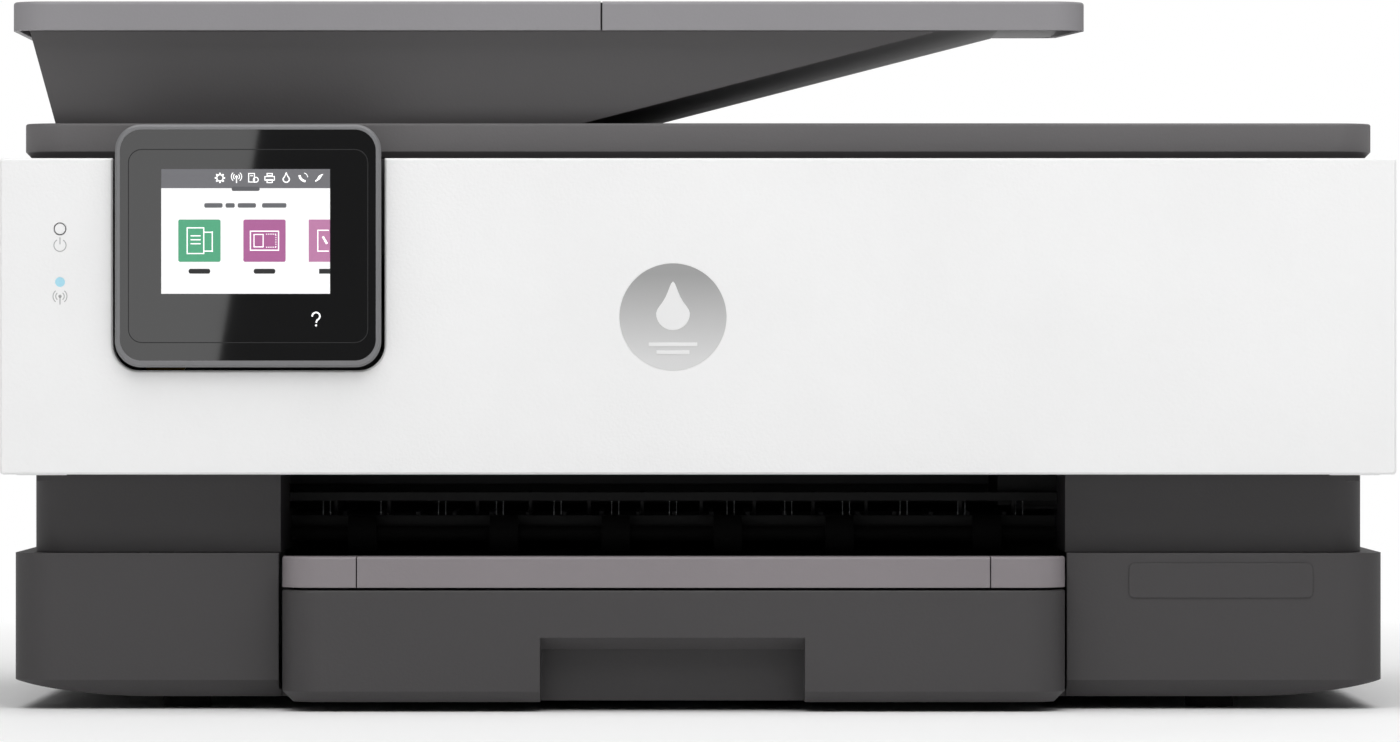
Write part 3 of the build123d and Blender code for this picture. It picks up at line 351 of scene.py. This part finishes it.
def fromBmesh(name, mesh, look, body, smooth=False):
    # a finished object at the origin from a bmesh in millimetres
    bmesh.ops.recalc_face_normals(mesh, faces=mesh.faces)
    bmesh.ops.scale(mesh, vec=(mm, mm, mm), verts=mesh.verts)
    data = bpy.data.meshes.new(name)
    mesh.to_mesh(data)
    mesh.free()
    obj = bpy.data.objects.new(name, data)
    bpy.context.scene.collection.objects.link(obj)
    return finish(obj, look, body, smooth)


def prism(mesh, points, low, high, axis="y"):
    # an outline in two directions, made solid along the third
    place = {"y": lambda a, b, c: (a, c, b), "z": lambda a, b, c: (a, b, c), "x": lambda a, b, c: (c, a, b)}[axis]
    near = [mesh.verts.new(place(a, b, low)) for a, b in points]
    far = [mesh.verts.new(place(a, b, high)) for a, b in points]
    mesh.faces.new(near)
    mesh.faces.new(list(reversed(far)))
    for i in range(len(points)):
        j = (i + 1) % len(points)
        mesh.faces.new((near[j], near[i], far[i], far[j]))


def rect(x0, z0, x1, z1):
    return [(x0, z0), (x1, z0), (x1, z1), (x0, z1)]


def roundRect(x0, z0, x1, z1, r, steps=6):
    corners = ((x1 - r, z1 - r, 0), (x0 + r, z1 - r, 90), (x0 + r, z0 + r, 180), (x1 - r, z0 + r, 270))
    return [(cx + r * math.cos(math.radians(a + 90 * k / steps)), cz + r * math.sin(math.radians(a + 90 * k / steps)))
            for cx, cz, a in corners for k in range(steps + 1)]


def disc(cx, cz, r, steps=32):
    return [(cx + r * math.cos(2 * math.pi * k / steps), cz + r * math.sin(2 * math.pi * k / steps))
            for k in range(steps)]


def arcBand(cx, cz, r, width, start, end, steps=20):
    angles = [math.radians(start + (end - start) * k / steps) for k in range(steps + 1)]
    outer = [(cx + (r + width / 2) * math.cos(a), cz + (r + width / 2) * math.sin(a)) for a in angles]
    inner = [(cx + (r - width / 2) * math.cos(a), cz + (r - width / 2) * math.sin(a)) for a in reversed(angles)]
    return outer + inner


def stroke(x0, z0, x1, z1, width):
    length = math.hypot(x1 - x0, z1 - z0)
    nx, nz = -(z1 - z0) / length * width / 2, (x1 - x0) / length * width / 2
    return [(x0 + nx, z0 + nz), (x0 - nx, z0 - nz), (x1 - nx, z1 - nz), (x1 + nx, z1 + nz)]


def frameBars(x0, z0, x1, z1, width):
    # the outline of a box, as four bars
    return [rect(x0, z0, x1, z0 + width), rect(x0, z1 - width, x1, z1), rect(x0, z0 + width, x0 + width, z1 - width),
            rect(x1 - width, z0 + width, x1, z1 - width)]


def droplet(cx, cz, size, steps=28):
    # a round bottom that runs up to a point
    points = []
    for k in range(steps):
        a = 2 * math.pi * k / steps
        points.append((cx + size * 0.62 * math.cos(a) * (1 - 0.45 * max(0, math.sin(a)) ** 1.5),
                       cz + size * (0.62 * math.sin(a) + 0.55 * max(0, math.sin(a)) ** 6)))
    return points


def roundBand(mesh, x0, z0, x1, z1, r, width, low, high):
    # a closed band that follows a rounded rectangle
    outer = roundRect(x0, z0, x1, z1, r)
    inner = roundRect(x0 + width, z0 + width, x1 - width, z1 - width, r - width)
    rings = [[mesh.verts.new((a, y, b)) for a, b in line] for line, y in
             ((outer, low), (inner, low), (inner, high), (outer, high))]
    for i in range(len(outer)):
        j = (i + 1) % len(outer)
        for k in range(4):
            first, second = rings[k], rings[(k + 1) % 4]
            mesh.faces.new((first[i], first[j], second[j], second[i]))


def flatPiece(name, shapes, low, high, look, body, slotName, axis="y"):
    mesh = bmesh.new()
    for points in shapes:
        prism(mesh, points, low, high, axis)
    return fromBmesh(name, mesh, look, body)


def lathe(mesh, profile, centre, axis="z", steps=32):
    # turns a profile of (radius, height) pairs round an axis through the centre
    turn = {"z": lambda r, a, h: (r * math.cos(a), r * math.sin(a), h),
            "y": lambda r, a, h: (r * math.cos(a), h, r * math.sin(a)),
            "x": lambda r, a, h: (h, r * math.cos(a), r * math.sin(a))}[axis]
    rings = []
    for r, h in profile:
        rings.append([mesh.verts.new(Vector(centre) + Vector(turn(r, 2 * math.pi * k / steps, h)))
                      for k in range(steps)])
    for lower, upper in zip(rings, rings[1:]):
        for k in range(steps):
            j = (k + 1) % steps
            mesh.faces.new((lower[k], lower[j], upper[j], upper[k]))
    mesh.faces.new(rings[0])
    mesh.faces.new(list(reversed(rings[-1])))


def repeatAt(name, pattern, points, look, body, turn=(0, 0, 0), scale=1.0, smooth=False):
    # geometry nodes put a copy of the pattern on every point (mm), then the result is kept as a plain mesh
    data = bpy.data.meshes.new(name + "Points")
    data.from_pydata([tuple(c * mm for c in p) for p in points], [], [])
    carrier = bpy.data.objects.new(name, data)
    bpy.context.scene.collection.objects.link(carrier)
    tree = bpy.data.node_groups.new(name + "Repeat", "GeometryNodeTree")
    tree.interface.new_socket("Points", in_out="INPUT", socket_type="NodeSocketGeometry")
    turnSocket = tree.interface.new_socket("Turn", in_out="INPUT", socket_type="NodeSocketVector")
    sizeSocket = tree.interface.new_socket("Size", in_out="INPUT", socket_type="NodeSocketFloat")
    tree.interface.new_socket("Geometry", in_out="OUTPUT", socket_type="NodeSocketGeometry")
    entry = tree.nodes.new("NodeGroupInput")
    exitNode = tree.nodes.new("NodeGroupOutput")
    shape = addNode(tree, "GeometryNodeObjectInfo")
    shape.inputs["Object"].default_value = pattern
    copies = addNode(tree, "GeometryNodeInstanceOnPoints", {"Points": entry.outputs["Points"],
                     "Instance": shape.outputs["Geometry"], "Rotation": entry.outputs["Turn"],
                     "Scale": entry.outputs["Size"]})
    real = addNode(tree, "GeometryNodeRealizeInstances", {"Geometry": copies.outputs[0]})
    painted = addNode(tree, "GeometryNodeSetMaterial", {"Geometry": real.outputs[0]})
    painted.inputs["Material"].default_value = looks[look]
    tree.links.new(painted.outputs[0], exitNode.inputs[0])
    modifier = carrier.modifiers.new("repeat", "NODES")
    modifier.node_group = tree
    modifier[turnSocket.identifier] = [math.radians(a) for a in turn]
    modifier[sizeSocket.identifier] = scale
    bpy.context.view_layer.update()
    result = bpy.data.meshes.new_from_object(carrier.evaluated_get(bpy.context.evaluated_depsgraph_get()))
    carrier.modifiers.clear()
    carrier.data = result
    bpy.data.objects.remove(pattern)
    return finish(carrier, look, body, smooth)


def stamp(name, build):
    # a small shape at the origin, in millimetres, for repeatAt
    mesh = bmesh.new()
    build(mesh)
    bmesh.ops.recalc_face_normals(mesh, faces=mesh.faces)
    bmesh.ops.scale(mesh, vec=(mm, mm, mm), verts=mesh.verts)
    data = bpy.data.meshes.new(name)
    mesh.to_mesh(data)
    mesh.free()
    obj = bpy.data.objects.new(name, data)
    bpy.context.scene.collection.objects.link(obj)
    return obj


def corners(node):
    # lowest and highest corner of a CAD node, in millimetres
    low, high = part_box(node)
    return low / mm, high / mm


# touch panel: groove, screen and its symbols
glassLow, glassHigh = corners("touch_glass")
displayLow, displayHigh = corners("display_module")
screen = {"left": displayLow.x + 1, "right": displayHigh.x - 1, "bottom": displayLow.z + 1, "top": displayHigh.z - 1,
          "barHeight": 6.3, "layer": 0.02}
face = glassLow.y


def screenLayer(number):
    # each layer of the picture lies a hair in front of the one below
    return face - screen["layer"] * (number + 1), face - screen["layer"] * number + 0.01


def onScreen(name, shapes, look, number):
    low, high = screenLayer(number)
    return flatPiece(name, shapes, low, high, look, "control_panel", "black_glass")


looks.update({
    "pageWhite": printedInk("lit screen white", "#f4f4f4", glow=0.22),
    "barGrey": printedInk("lit screen status grey", "#6f6f73", glow=0.1),
    "symbolWhite": printedInk("lit screen symbol white", "#ffffff", glow=0.5),
    "tileGreen": printedInk("lit screen green", "#4fa37c", glow=0.18),
    "tileMagenta": printedInk("lit screen magenta", "#a85e92", glow=0.18),
    "tilePink": printedInk("lit screen pink", "#b879a2", glow=0.18),
    "textGrey": printedInk("lit screen text grey", "#68696d", glow=0.05),
    "textBlack": printedInk("lit screen label black", "#222223", glow=0.02),
    "tabGrey": printedInk("lit screen pull tab", "#5c5d61", glow=0.05),
    "groove": printedInk("moulded groove line in the glass", "#101012", roughness=0.6),
})
left, right, top, bottom = screen["left"], screen["right"], screen["top"], screen["bottom"]
barBottom = top - screen["barHeight"]
onScreen("screenPage", [rect(left, bottom, right, barBottom)], "pageWhite", 0)
onScreen("screenBar", [rect(left, barBottom, right, top)], "barGrey", 0)

symbolZ = top - 2.9
symbolX = [left + 19.3 + 5.45 * k for k in range(7)]
gear = [arcBand(symbolX[0], symbolZ, 1.05, 0.35, 0, 360, 24)]
gear += [stroke(symbolX[0] + 1.1 * math.cos(a), symbolZ + 1.1 * math.sin(a), symbolX[0] + 1.7 * math.cos(a),
                symbolZ + 1.7 * math.sin(a), 0.5) for a in [k * math.pi / 4 for k in range(8)]]
mast = [disc(symbolX[1], symbolZ + 0.4, 0.4, 12), stroke(symbolX[1], symbolZ + 0.4, symbolX[1], symbolZ - 1.7, 0.35)]
for r in (1.0, 1.7):
    mast.append(arcBand(symbolX[1], symbolZ + 0.4, r, 0.28, -50, 50, 10))
    mast.append(arcBand(symbolX[1], symbolZ + 0.4, r, 0.28, 130, 230, 10))
sheets = frameBars(symbolX[2] - 1.6, symbolZ - 1.5, symbolX[2] + 0.6, symbolZ + 1.6, 0.3)
sheets += [stroke(symbolX[2] - 1, symbolZ + 0.7, symbolX[2], symbolZ + 0.7, 0.25),
           arcBand(symbolX[2] + 0.9, symbolZ - 0.6, 0.8, 0.3, 0, 360, 16)]
machine = frameBars(symbolX[3] - 1.7, symbolZ - 0.9, symbolX[3] + 1.7, symbolZ + 0.6, 0.3)
machine += frameBars(symbolX[3] - 1, symbolZ + 0.6, symbolX[3] + 1, symbolZ + 1.6, 0.3)
machine += frameBars(symbolX[3] - 1, symbolZ - 1.7, symbolX[3] + 1, symbolZ - 0.4, 0.3)
phone = [arcBand(symbolX[5] + 1.1, symbolZ + 1.1, 2.2, 0.75, 185, 265, 12),
         arcBand(symbolX[5] + 0.2, symbolZ + 0.2, 1.4, 0.25, 0, 80, 8)]
leaf = [arcBand(symbolX[6] - 1.5, symbolZ + 1.2, 2.1, 0.35, 275, 350, 10),
        arcBand(symbolX[6] + 1.4, symbolZ - 1.0, 2.1, 0.35, 95, 170, 10),
        stroke(symbolX[6] - 1.3, symbolZ - 1.2, symbolX[6] + 0.6, symbolZ + 0.6, 0.28)]
dropletRim = droplet(symbolX[4], symbolZ - 0.4, 2.0)
onScreen("statusSymbols", gear + mast + sheets + machine + phone + leaf + [dropletRim], "symbolWhite", 1)
onScreen("statusDropHeart", [droplet(symbolX[4], symbolZ - 0.4, 1.35)], "barGrey", 2)

middleX = (left + right) / 2
onScreen("pullTab", [roundRect(middleX - 4.6, barBottom - 0.9, middleX + 4.6, barBottom + 0.5, 0.6)], "tabGrey", 1)
tileTop = top - 16.6
tileSize = 13.9
tileX = (left + 5.6, left + 27.0, left + 48.5)
onScreen("copyTile", [roundRect(tileX[0], tileTop - tileSize, tileX[0] + tileSize, tileTop, 0.6)], "tileGreen", 1)
onScreen("scanTile", [roundRect(tileX[1], tileTop - tileSize, tileX[1] + tileSize, tileTop, 0.6)], "tileMagenta", 1)
onScreen("thirdTile", [rect(tileX[2], tileTop - tileSize, right, tileTop)], "tilePink", 1)
cx, cz = tileX[0] + tileSize / 2, tileTop - tileSize / 2
copySymbol = frameBars(cx - 4.2, cz - 4.4, cx + 1.6, cz + 4.4, 0.35)
copySymbol += [stroke(cx - 2.9, cz + h, cx + 0.4, cz + h, 0.35) for h in (1.6, 0.3, -1.0)]
copySymbol += [rect(cx + 1.6, cz + 2.6, cx + 4.4, cz + 2.95), rect(cx + 4.05, cz - 3.6, cx + 4.4, cz + 2.95),
               rect(cx + 1.6, cz - 3.6, cx + 4.4, cz - 3.25)]
cx, cz = tileX[1] + tileSize / 2, tileTop - tileSize / 2
scanSymbol = frameBars(cx - 4.8, cz - 3.3, cx + 4.8, cz + 3.3, 0.35)
scanSymbol += frameBars(cx - 3.6, cz - 2.2, cx - 0.3, cz + 2.2, 0.3)
for k in range(6):
    scanSymbol.append(rect(cx + 0.5 + 0.6 * k, cz + 2.0, cx + 0.8 + 0.6 * k, cz + 2.3))
    scanSymbol.append(rect(cx + 0.5 + 0.6 * k, cz - 2.3, cx + 0.8 + 0.6 * k, cz - 2.0))
    scanSymbol.append(rect(cx + 3.6, cz - 2.1 + 0.75 * k, cx + 3.9, cz - 1.8 + 0.75 * k))
handset = frameBars(tileX[2] + 2.8, cz - 3.6, right - 0.4, cz + 3.6, 0.35)[:3]
handset.append(stroke(right - 2.4, cz + 1.4, right - 1.0, cz - 1.0, 0.7))
onScreen("tileSymbols", copySymbol + scanSymbol + handset, "symbolWhite", 2)
labelZ = tileTop - tileSize - 3.1
# a plain bar stands where each tile's label would be
onScreen("tileLabels", [roundRect(x + 3.4, labelZ - 0.8, x + tileSize - 3.4, labelZ + 0.8, 0.7) for x in tileX[:2]]
         + [rect(tileX[2] + 3.4, labelZ - 0.8, right, labelZ + 0.8)], "textBlack", 1)
onScreen("clockLine", [roundRect(middleX - 13.6 + a, top - 12.7, middleX - 13.6 + b, top - 11.2, 0.5)
                       for a, b in ((0, 6), (7, 10), (11, 17), (19, 27))], "textGrey", 1)


helpX, helpZ = right - 4.6, bottom - 7.4
onScreen("helpMark", [arcBand(helpX, helpZ, 1.25, 0.5, -65, 185, 20),
                      stroke(helpX + 0.5, helpZ - 1.0, helpX, helpZ - 2.1, 0.5),
                      disc(helpX, helpZ - 3.0, 0.34, 16)], "symbolWhite", 0)
grooveMesh = bmesh.new()
roundBand(grooveMesh, glassLow.x + 2.6, glassLow.z + 5.8, glassHigh.x - 2.5, glassHigh.z - 6.4, 4.5, 0.3, face - 0.015,
          face + 0.1)
fromBmesh("glassGroove", grooveMesh, "groove", "control_panel")
print("touch panel done")

# door: printed symbols and the emblem's motif
doorLow = corners("front_door")[0]
lightLow, lightHigh = corners("wireless_light")
buttonLow, buttonHigh = corners("power_button")
looks["doorPrint"] = printedInk("pad-printed grey on the door", "#b4b4b5")
ledX = (lightLow.x + lightHigh.x) / 2
printY = (doorLow.y - 0.03, doorLow.y + 0.05)
powerZ = (buttonLow.z + buttonHigh.z) / 2 - 5.4
waveZ = (lightLow.z + lightHigh.z) / 2 - 5.0
symbols = [arcBand(ledX, powerZ, 2.0, 0.32, 120, 420, 28), stroke(ledX, powerZ + 0.3, ledX, powerZ + 2.6, 0.32),
           disc(ledX, waveZ + 0.3, 0.55, 16), stroke(ledX, waveZ + 0.3, ledX, waveZ - 2.4, 0.32)]
for r in (1.4, 2.3):
    symbols += [arcBand(ledX, waveZ + 0.3, r, 0.3, -52, 52, 12), arcBand(ledX, waveZ + 0.3, r, 0.3, 128, 232, 12)]
flatPiece("doorSymbols", symbols, *printY, "doorPrint", "front_door", "white_plastic")

emblemLow, emblemHigh = corners("door_emblem")
emblemX, emblemZ = (emblemLow.x + emblemHigh.x) / 2, (emblemLow.z + emblemHigh.z) / 2
looks["motif"] = mouldedPlastic("white inlay", "#efefef", roughness=0.5, grain=0.6, depth=0.02, drift=0.01, edge=0.2)
# a plain droplet over two sheet lines
motif = [droplet(emblemX, emblemZ + 1.2, 9.0), rect(emblemX - 8.0, emblemZ - 9.6, emblemX + 8.0, emblemZ - 8.4),
         rect(emblemX - 5.4, emblemZ - 12.2, emblemX + 5.4, emblemZ - 11.0)]
flatPiece("emblemMotif", motif, emblemLow.y - 0.12, emblemLow.y + 0.3, "motif", "front_door", "white_plastic")
print("door symbols done")

# rear: screws, vents, rating plate, socket shields and contacts
rearFace = corners("rear_cover")[1].y
socketLow, socketHigh = corners("data_sockets")
socketX = (socketLow.x + socketHigh.x) / 2
socketZ = (socketLow.z + socketHigh.z) / 2
rearDetail = {"slotPitch": 5.0, "slotHeight": 154, "slotCount": 11, "proud": 0.03}
looks["dark"] = mouldedPlastic("shadowed opening", "#0b0b0c", roughness=0.8, edgeTint=1.2)
looks["gold"] = groundSteel("gold-plated contact", "#d9b252", roughness=0.25)
looks["label"] = printedInk("pale polyester label", "#d9dadb", roughness=0.4)
looks["faintGrey"] = printedInk("grey pad print on plastic", "#9b9b9d")


def screwHead(mesh):
    lathe(mesh, [(3.0, -0.8), (3.0, 0.0), (2.7, 0.03)], (0, 0, 0), "y", 24)


def crossRecess(mesh):
    prism(mesh, rect(-1.7, -0.35, 1.7, 0.35), -0.1, 0.05)
    prism(mesh, rect(-0.35, -1.7, 0.35, 1.7), -0.1, 0.05)


def slot(mesh):
    prism(mesh, roundRect(-1.1, -9, 1.1, 9, 1.0), -0.4, rearDetail["proud"])


screwSpots = [(x, rearFace, z) for x in (-206, 206) for z in (64, 168)] + [(x, rearFace, 136) for x in (-118, 118)]
repeatAt("rearScrews", stamp("screwHead", screwHead), screwSpots, "steel", "chassis")
repeatAt("rearScrewCrosses", stamp("crossRecess", crossRecess), screwSpots, "dark", "chassis")
ventSpots = [(x + rearDetail["slotPitch"] * k, rearFace, rearDetail["slotHeight"]) for x in (-90, 40)
             for k in range(rearDetail["slotCount"])]
repeatAt("rearVents", stamp("slot", slot), ventSpots, "dark", "chassis")
flatPiece("ratingPlate", [roundRect(132, 128, 192, 150, 1.5)], rearFace - 0.05, rearFace + 0.02, "label", "chassis",
          "charcoal_plastic")
flatPiece("ratingLines", [rect(136, 146 - 3 * k, 188 - 9 * (k % 3), 147 - 3 * k) for k in range(6)], rearFace,
          rearFace + 0.04, "faintGrey", "chassis", "charcoal_plastic")
shields = frameBars(socketX - 21, socketZ - 5.5, socketX - 8, socketZ + 5.5, 0.5)
shields += frameBars(socketX + 5, socketZ - 7, socketX + 20, socketZ + 6, 0.5)
flatPiece("socketShields", shields, rearFace - 11.5, rearFace - 0.2, "steel", "chassis", "sheet_steel")
flatPiece("dataTongue", [rect(socketX - 17, socketZ - 1.4, socketX - 12, socketZ + 1.4)], rearFace - 11.8,
          rearFace - 2.5, "foam", "chassis", "black_plastic")


def contact(mesh):
    prism(mesh, rect(-0.25, 0, 0.25, 0.3), -8, 0)


repeatAt("networkContacts", stamp("contact", contact), [(socketX + 8.9 + 1.05 * k, rearFace - 2, socketZ - 5.6)
         for k in range(8)], "gold", "chassis")
print("rear done")

# side panels: a field of vents on each
for side, sideName in ((-1, "left_side_panel"), (1, "right_side_panel")):
    sideLow, sideHigh = corners(sideName)
    sideFace = sideLow.x if side < 0 else sideHigh.x

    def sideSlot(mesh):
        low, high = sorted((-0.4 * side, 0.02 * side))
        prism(mesh, roundRect(-1.2, -11, 1.2, 11, 1.1), low, high, "x")

    repeatAt(sideName.split("_")[0] + "Vents", stamp("sideSlot", sideSlot),
             [(sideFace, 70 + 5.5 * k, 112) for k in range(14)], "dark", "chassis")

# paper path: star wheels over the exit roller, tyre grooves, belt teeth
starLow, starHigh = corners("star_wheel_bar")
ejectTop = corners("eject_roller")[1].z
starY = (starLow.y + starHigh.y) / 2
starZ = starLow.z + 2.5
starRadius = starZ - ejectTop - 0.15


def starWheel(mesh):
    teeth = 20
    ring = []
    for k in range(2 * teeth):
        r = starRadius * (1 if k % 2 == 0 else 0.78)
        ring.append((r * math.cos(math.pi * k / teeth), r * math.sin(math.pi * k / teeth)))
    prism(mesh, ring, -0.15, 0.15, "x")


wheelSpots = [(starLow.x + 12.5 + 19.6 * k + pair, starY, starZ) for k in range(13) for pair in (-1.2, 1.2)]
repeatAt("starWheels", stamp("starWheel", starWheel), wheelSpots, "steel", "chassis")
beltLow, beltHigh = corners("carriage_belt")
beltY = (beltLow.y + beltHigh.y) / 2


def beltTooth(mesh):
    prism(mesh, rect(-0.5, -0.25, 0.5, 0.25), -1.4, 1.4)


teethSpots = [(x * 3.0, beltY, z) for x in range(-60, 61) for z in (beltLow.z + 1.4, beltHigh.z - 1.4)]
repeatAt("carriageBeltTeeth", stamp("beltTooth", beltTooth), teethSpots, "rubber", "chassis")
rollLow, rollHigh = corners("feeder_transport_roller")
rollX, rollZ = (rollLow.x + rollHigh.x) / 2, (rollLow.z + rollHigh.z) / 2


def tyreGroove(mesh):
    lathe(mesh, [(9.0, -0.5), (9.04, -0.4), (9.04, 0.4), (9.0, 0.5)], (0, 0, 0), "y", 40)


repeatAt("transportGrooves", stamp("tyreGroove", tyreGroove), [(rollX, rollLow.y + centre + 4 * k, rollZ)
         for centre in (40.7, 95.7, 150.7) for k in (-2, -1, 0, 1, 2)], "dark", "feeder_transport_roller")
print("paper path done")

# cartridges: a white label with a coloured drop, and the latch ribs above them on the carriage
for ink in ("black", "cyan", "magenta", "yellow"):
    inkLow, inkHigh = corners(ink + "_cartridge")
    inkX = (inkLow.x + inkHigh.x) / 2
    flatPiece(ink + "LabelPlate", [roundRect(inkLow.x + 2.5, inkLow.z + 7, inkHigh.x - 2.5, inkHigh.z - 5, 1.5)],
              inkLow.y - 0.04, inkLow.y + 0.05, "label", ink + "_cartridge", ink + "_label")
    flatPiece(ink + "LabelDrop", [droplet(inkX, inkLow.z + 19, 5.0)], inkLow.y - 0.08, inkLow.y, ink + "Ink",
              ink + "_cartridge", ink + "_label")
carriageLow, carriageHigh = corners("print_carriage")


def latchRib(mesh):
    prism(mesh, rect(-0.4, 0, 0.4, 3.2), -0.35, 0.05)


latchSpots = []
for ink in ("black", "cyan", "magenta", "yellow"):
    inkLow, inkHigh = corners(ink + "_cartridge")
    latchSpots += [((inkLow.x + inkHigh.x) / 2 + 1.8 * k, carriageLow.y, carriageHigh.z - 4) for k in range(-3, 4)]
repeatAt("latchRibs", stamp("latchRib", latchRib), latchSpots, "guide", "print_carriage")
print("cartridges done")

# flatbed: size ticks and a corner arrow on the bezel, the light guide on the scan head
paneLow, paneHigh = corners("scanner_glass")
bezelTop = paneHigh.z
bezel = {"step": 10.0, "startX": paneLow.x + 36}


def frontTick(mesh):
    prism(mesh, rect(-0.2, -2, 0.2, 2), -0.1, 0.02, "z")


def sideTick(mesh):
    prism(mesh, rect(-2, -0.2, 2, 0.2), -0.1, 0.02, "z")


repeatAt("bezelTicksFront", stamp("frontTick", frontTick), [(bezel["startX"] + bezel["step"] * k, paneLow.y - 4,
         bezelTop) for k in range(31)], "faintGrey", "chassis")
repeatAt("bezelTicksRight", stamp("sideTick", sideTick), [(paneHigh.x + 4.5, paneLow.y + bezel["step"] * k, bezelTop)
         for k in range(23)], "faintGrey", "chassis")
arrowX, arrowY = paneHigh.x + 4, paneHigh.y + 4
flatPiece("cornerArrow", [[(arrowX - 3, arrowY - 3), (arrowX + 4, arrowY), (arrowX, arrowY + 4)]], bezelTop - 0.1,
          bezelTop + 0.02, "faintGrey", "chassis", "charcoal_plastic", "z")
headLow, headHigh = corners("scan_head")
headX = (headLow.x + headHigh.x) / 2
looks["lightGuide"] = printedInk("frosted acrylic light guide", "#dfe8ea", glow=0.15, roughness=0.25)
flatPiece("scanLightGuide", [rect(headX - 1.2, headLow.y + 8, headX + 1.2, headHigh.y - 8)], headHigh.z - 1.0,
          headHigh.z - 0.6, "lightGuide", "scan_head", "black_plastic", "z")

# paper tray and output tray: size marks and runners
trayLow, trayHigh = corners("tray_body")
trayX = (trayLow.x + trayHigh.x) / 2


def sizeMark(mesh):
    prism(mesh, rect(-5, -0.3, 5, 0.3), -0.1, 0.02, "z")


def runner(mesh):
    prism(mesh, roundRect(-0.8, -48, 0.8, 48, 0.7), -0.3, 0.35, "z")


repeatAt("traySizeMarks", stamp("sizeMark", sizeMark), [(trayX + 45, trayLow.y + 30 + 12.5 * k, trayLow.z + 2)
         for k in range(18)], "faintGrey", "paper_tray")
outLow, outHigh = corners("output_tray")
repeatAt("outputRunners", stamp("runner", runner), [(outLow.x + 22 + 15.3 * k, outHigh.y - 56, outLow.z + 6.4)
         for k in range(15)], "outputLip", "output_tray")
print("trays done")

# document feeder: grip ribs on the cover, a dark sheet of painted shade in the seam and a page symbol on the tray
capLow, capHigh = corners("feeder_cover")
docLow, docHigh = corners("document_tray")
capMid = (capLow.y + capHigh.y) / 2
# painted shade: a dark sheet fills the gap between the feeder cover and the document tray
flatPiece("seamSeal", [rect(capHigh.x + 0.02, docLow.y + 0.5, docLow.x + 0.05, docHigh.y - 0.5)], docHigh.z - 9.4,
          docHigh.z - 0.4, "dark", "document_tray", "black_plastic", "z")


def gripRib(mesh):
    prism(mesh, roundRect(-0.5, -14, 0.5, 14, 0.45), -0.3, 0.02, "z")


repeatAt("coverGrip", stamp("gripRib", gripRib), [(capHigh.x - 8 - 2.2 * k, capMid, capHigh.z) for k in range(6)],
         "feederBody", "feeder_cover")
pageX, pageY = docHigh.x - 28, capMid
pageSymbol = frameBars(pageX - 6, pageY - 8, pageX + 6, pageY + 8, 0.5)
pageSymbol += [rect(pageX - 3.5, pageY - 4 + 3 * k, pageX + 3.5, pageY - 3.5 + 3 * k) for k in range(4)]
pageSymbol.append([(pageX - 14, pageY), (pageX - 9, pageY - 3.5), (pageX - 9, pageY + 3.5)])
flatPiece("pageSymbol", pageSymbol, docHigh.z - 0.1, docHigh.z + 0.02, "feederBody", "document_tray", "grey_plastic",
          "z")
print("feeder done")

# inside: board parts, motor rings and the wiper of the service station
boardLow, boardHigh = corners("main_board")
boardTop = boardHigh.z - 2


def chip(mesh):
    prism(mesh, rect(-1.6, -0.9, 1.6, 0.9), 0, 0.9, "z")


def capacitor(mesh):
    lathe(mesh, [(2.6, 0), (3.0, 0.4), (3.0, 6.6), (2.7, 7)], (0, 0, 0), "z", 24)


chipSpots = [(boardLow.x + 6 + 7 * a, boardLow.y + 3.5 + 5 * b, boardTop) for a in range(8) for b in (0, 1, 2)]
repeatAt("boardChips", stamp("chip", chip), chipSpots, "inner", "chassis")
repeatAt("boardCapacitors", stamp("capacitor", capacitor), [(boardHigh.x - 6, boardLow.y + y, boardTop)
         for y in (22, 31, 58)], "steel", "chassis")
stationLow, stationHigh = corners("service_station")
flatPiece("wiperBlade", [rect(stationLow.x + 6, stationHigh.z - 6, stationLow.x + 7, stationHigh.z + 2.5)],
          stationLow.y + 20, stationLow.y + 62, "rubber", "chassis", "rubber")
motorLow, motorHigh = corners("carriage_motor")
motorX, motorZ = (motorLow.x + motorHigh.x) / 2, (motorLow.z + motorHigh.z) / 2
motorRing = bmesh.new()
for depth in (3, 9, 15):
    lathe(motorRing, [(15.9, depth), (16.15, depth + 0.3), (16.15, depth + 1.2), (15.9, depth + 1.5)],
          (motorX, motorHigh.y - 22, motorZ), "y", 40)
fromBmesh("motorRings", motorRing, "blackSteel", "chassis", smooth=True)
print("inner details done")
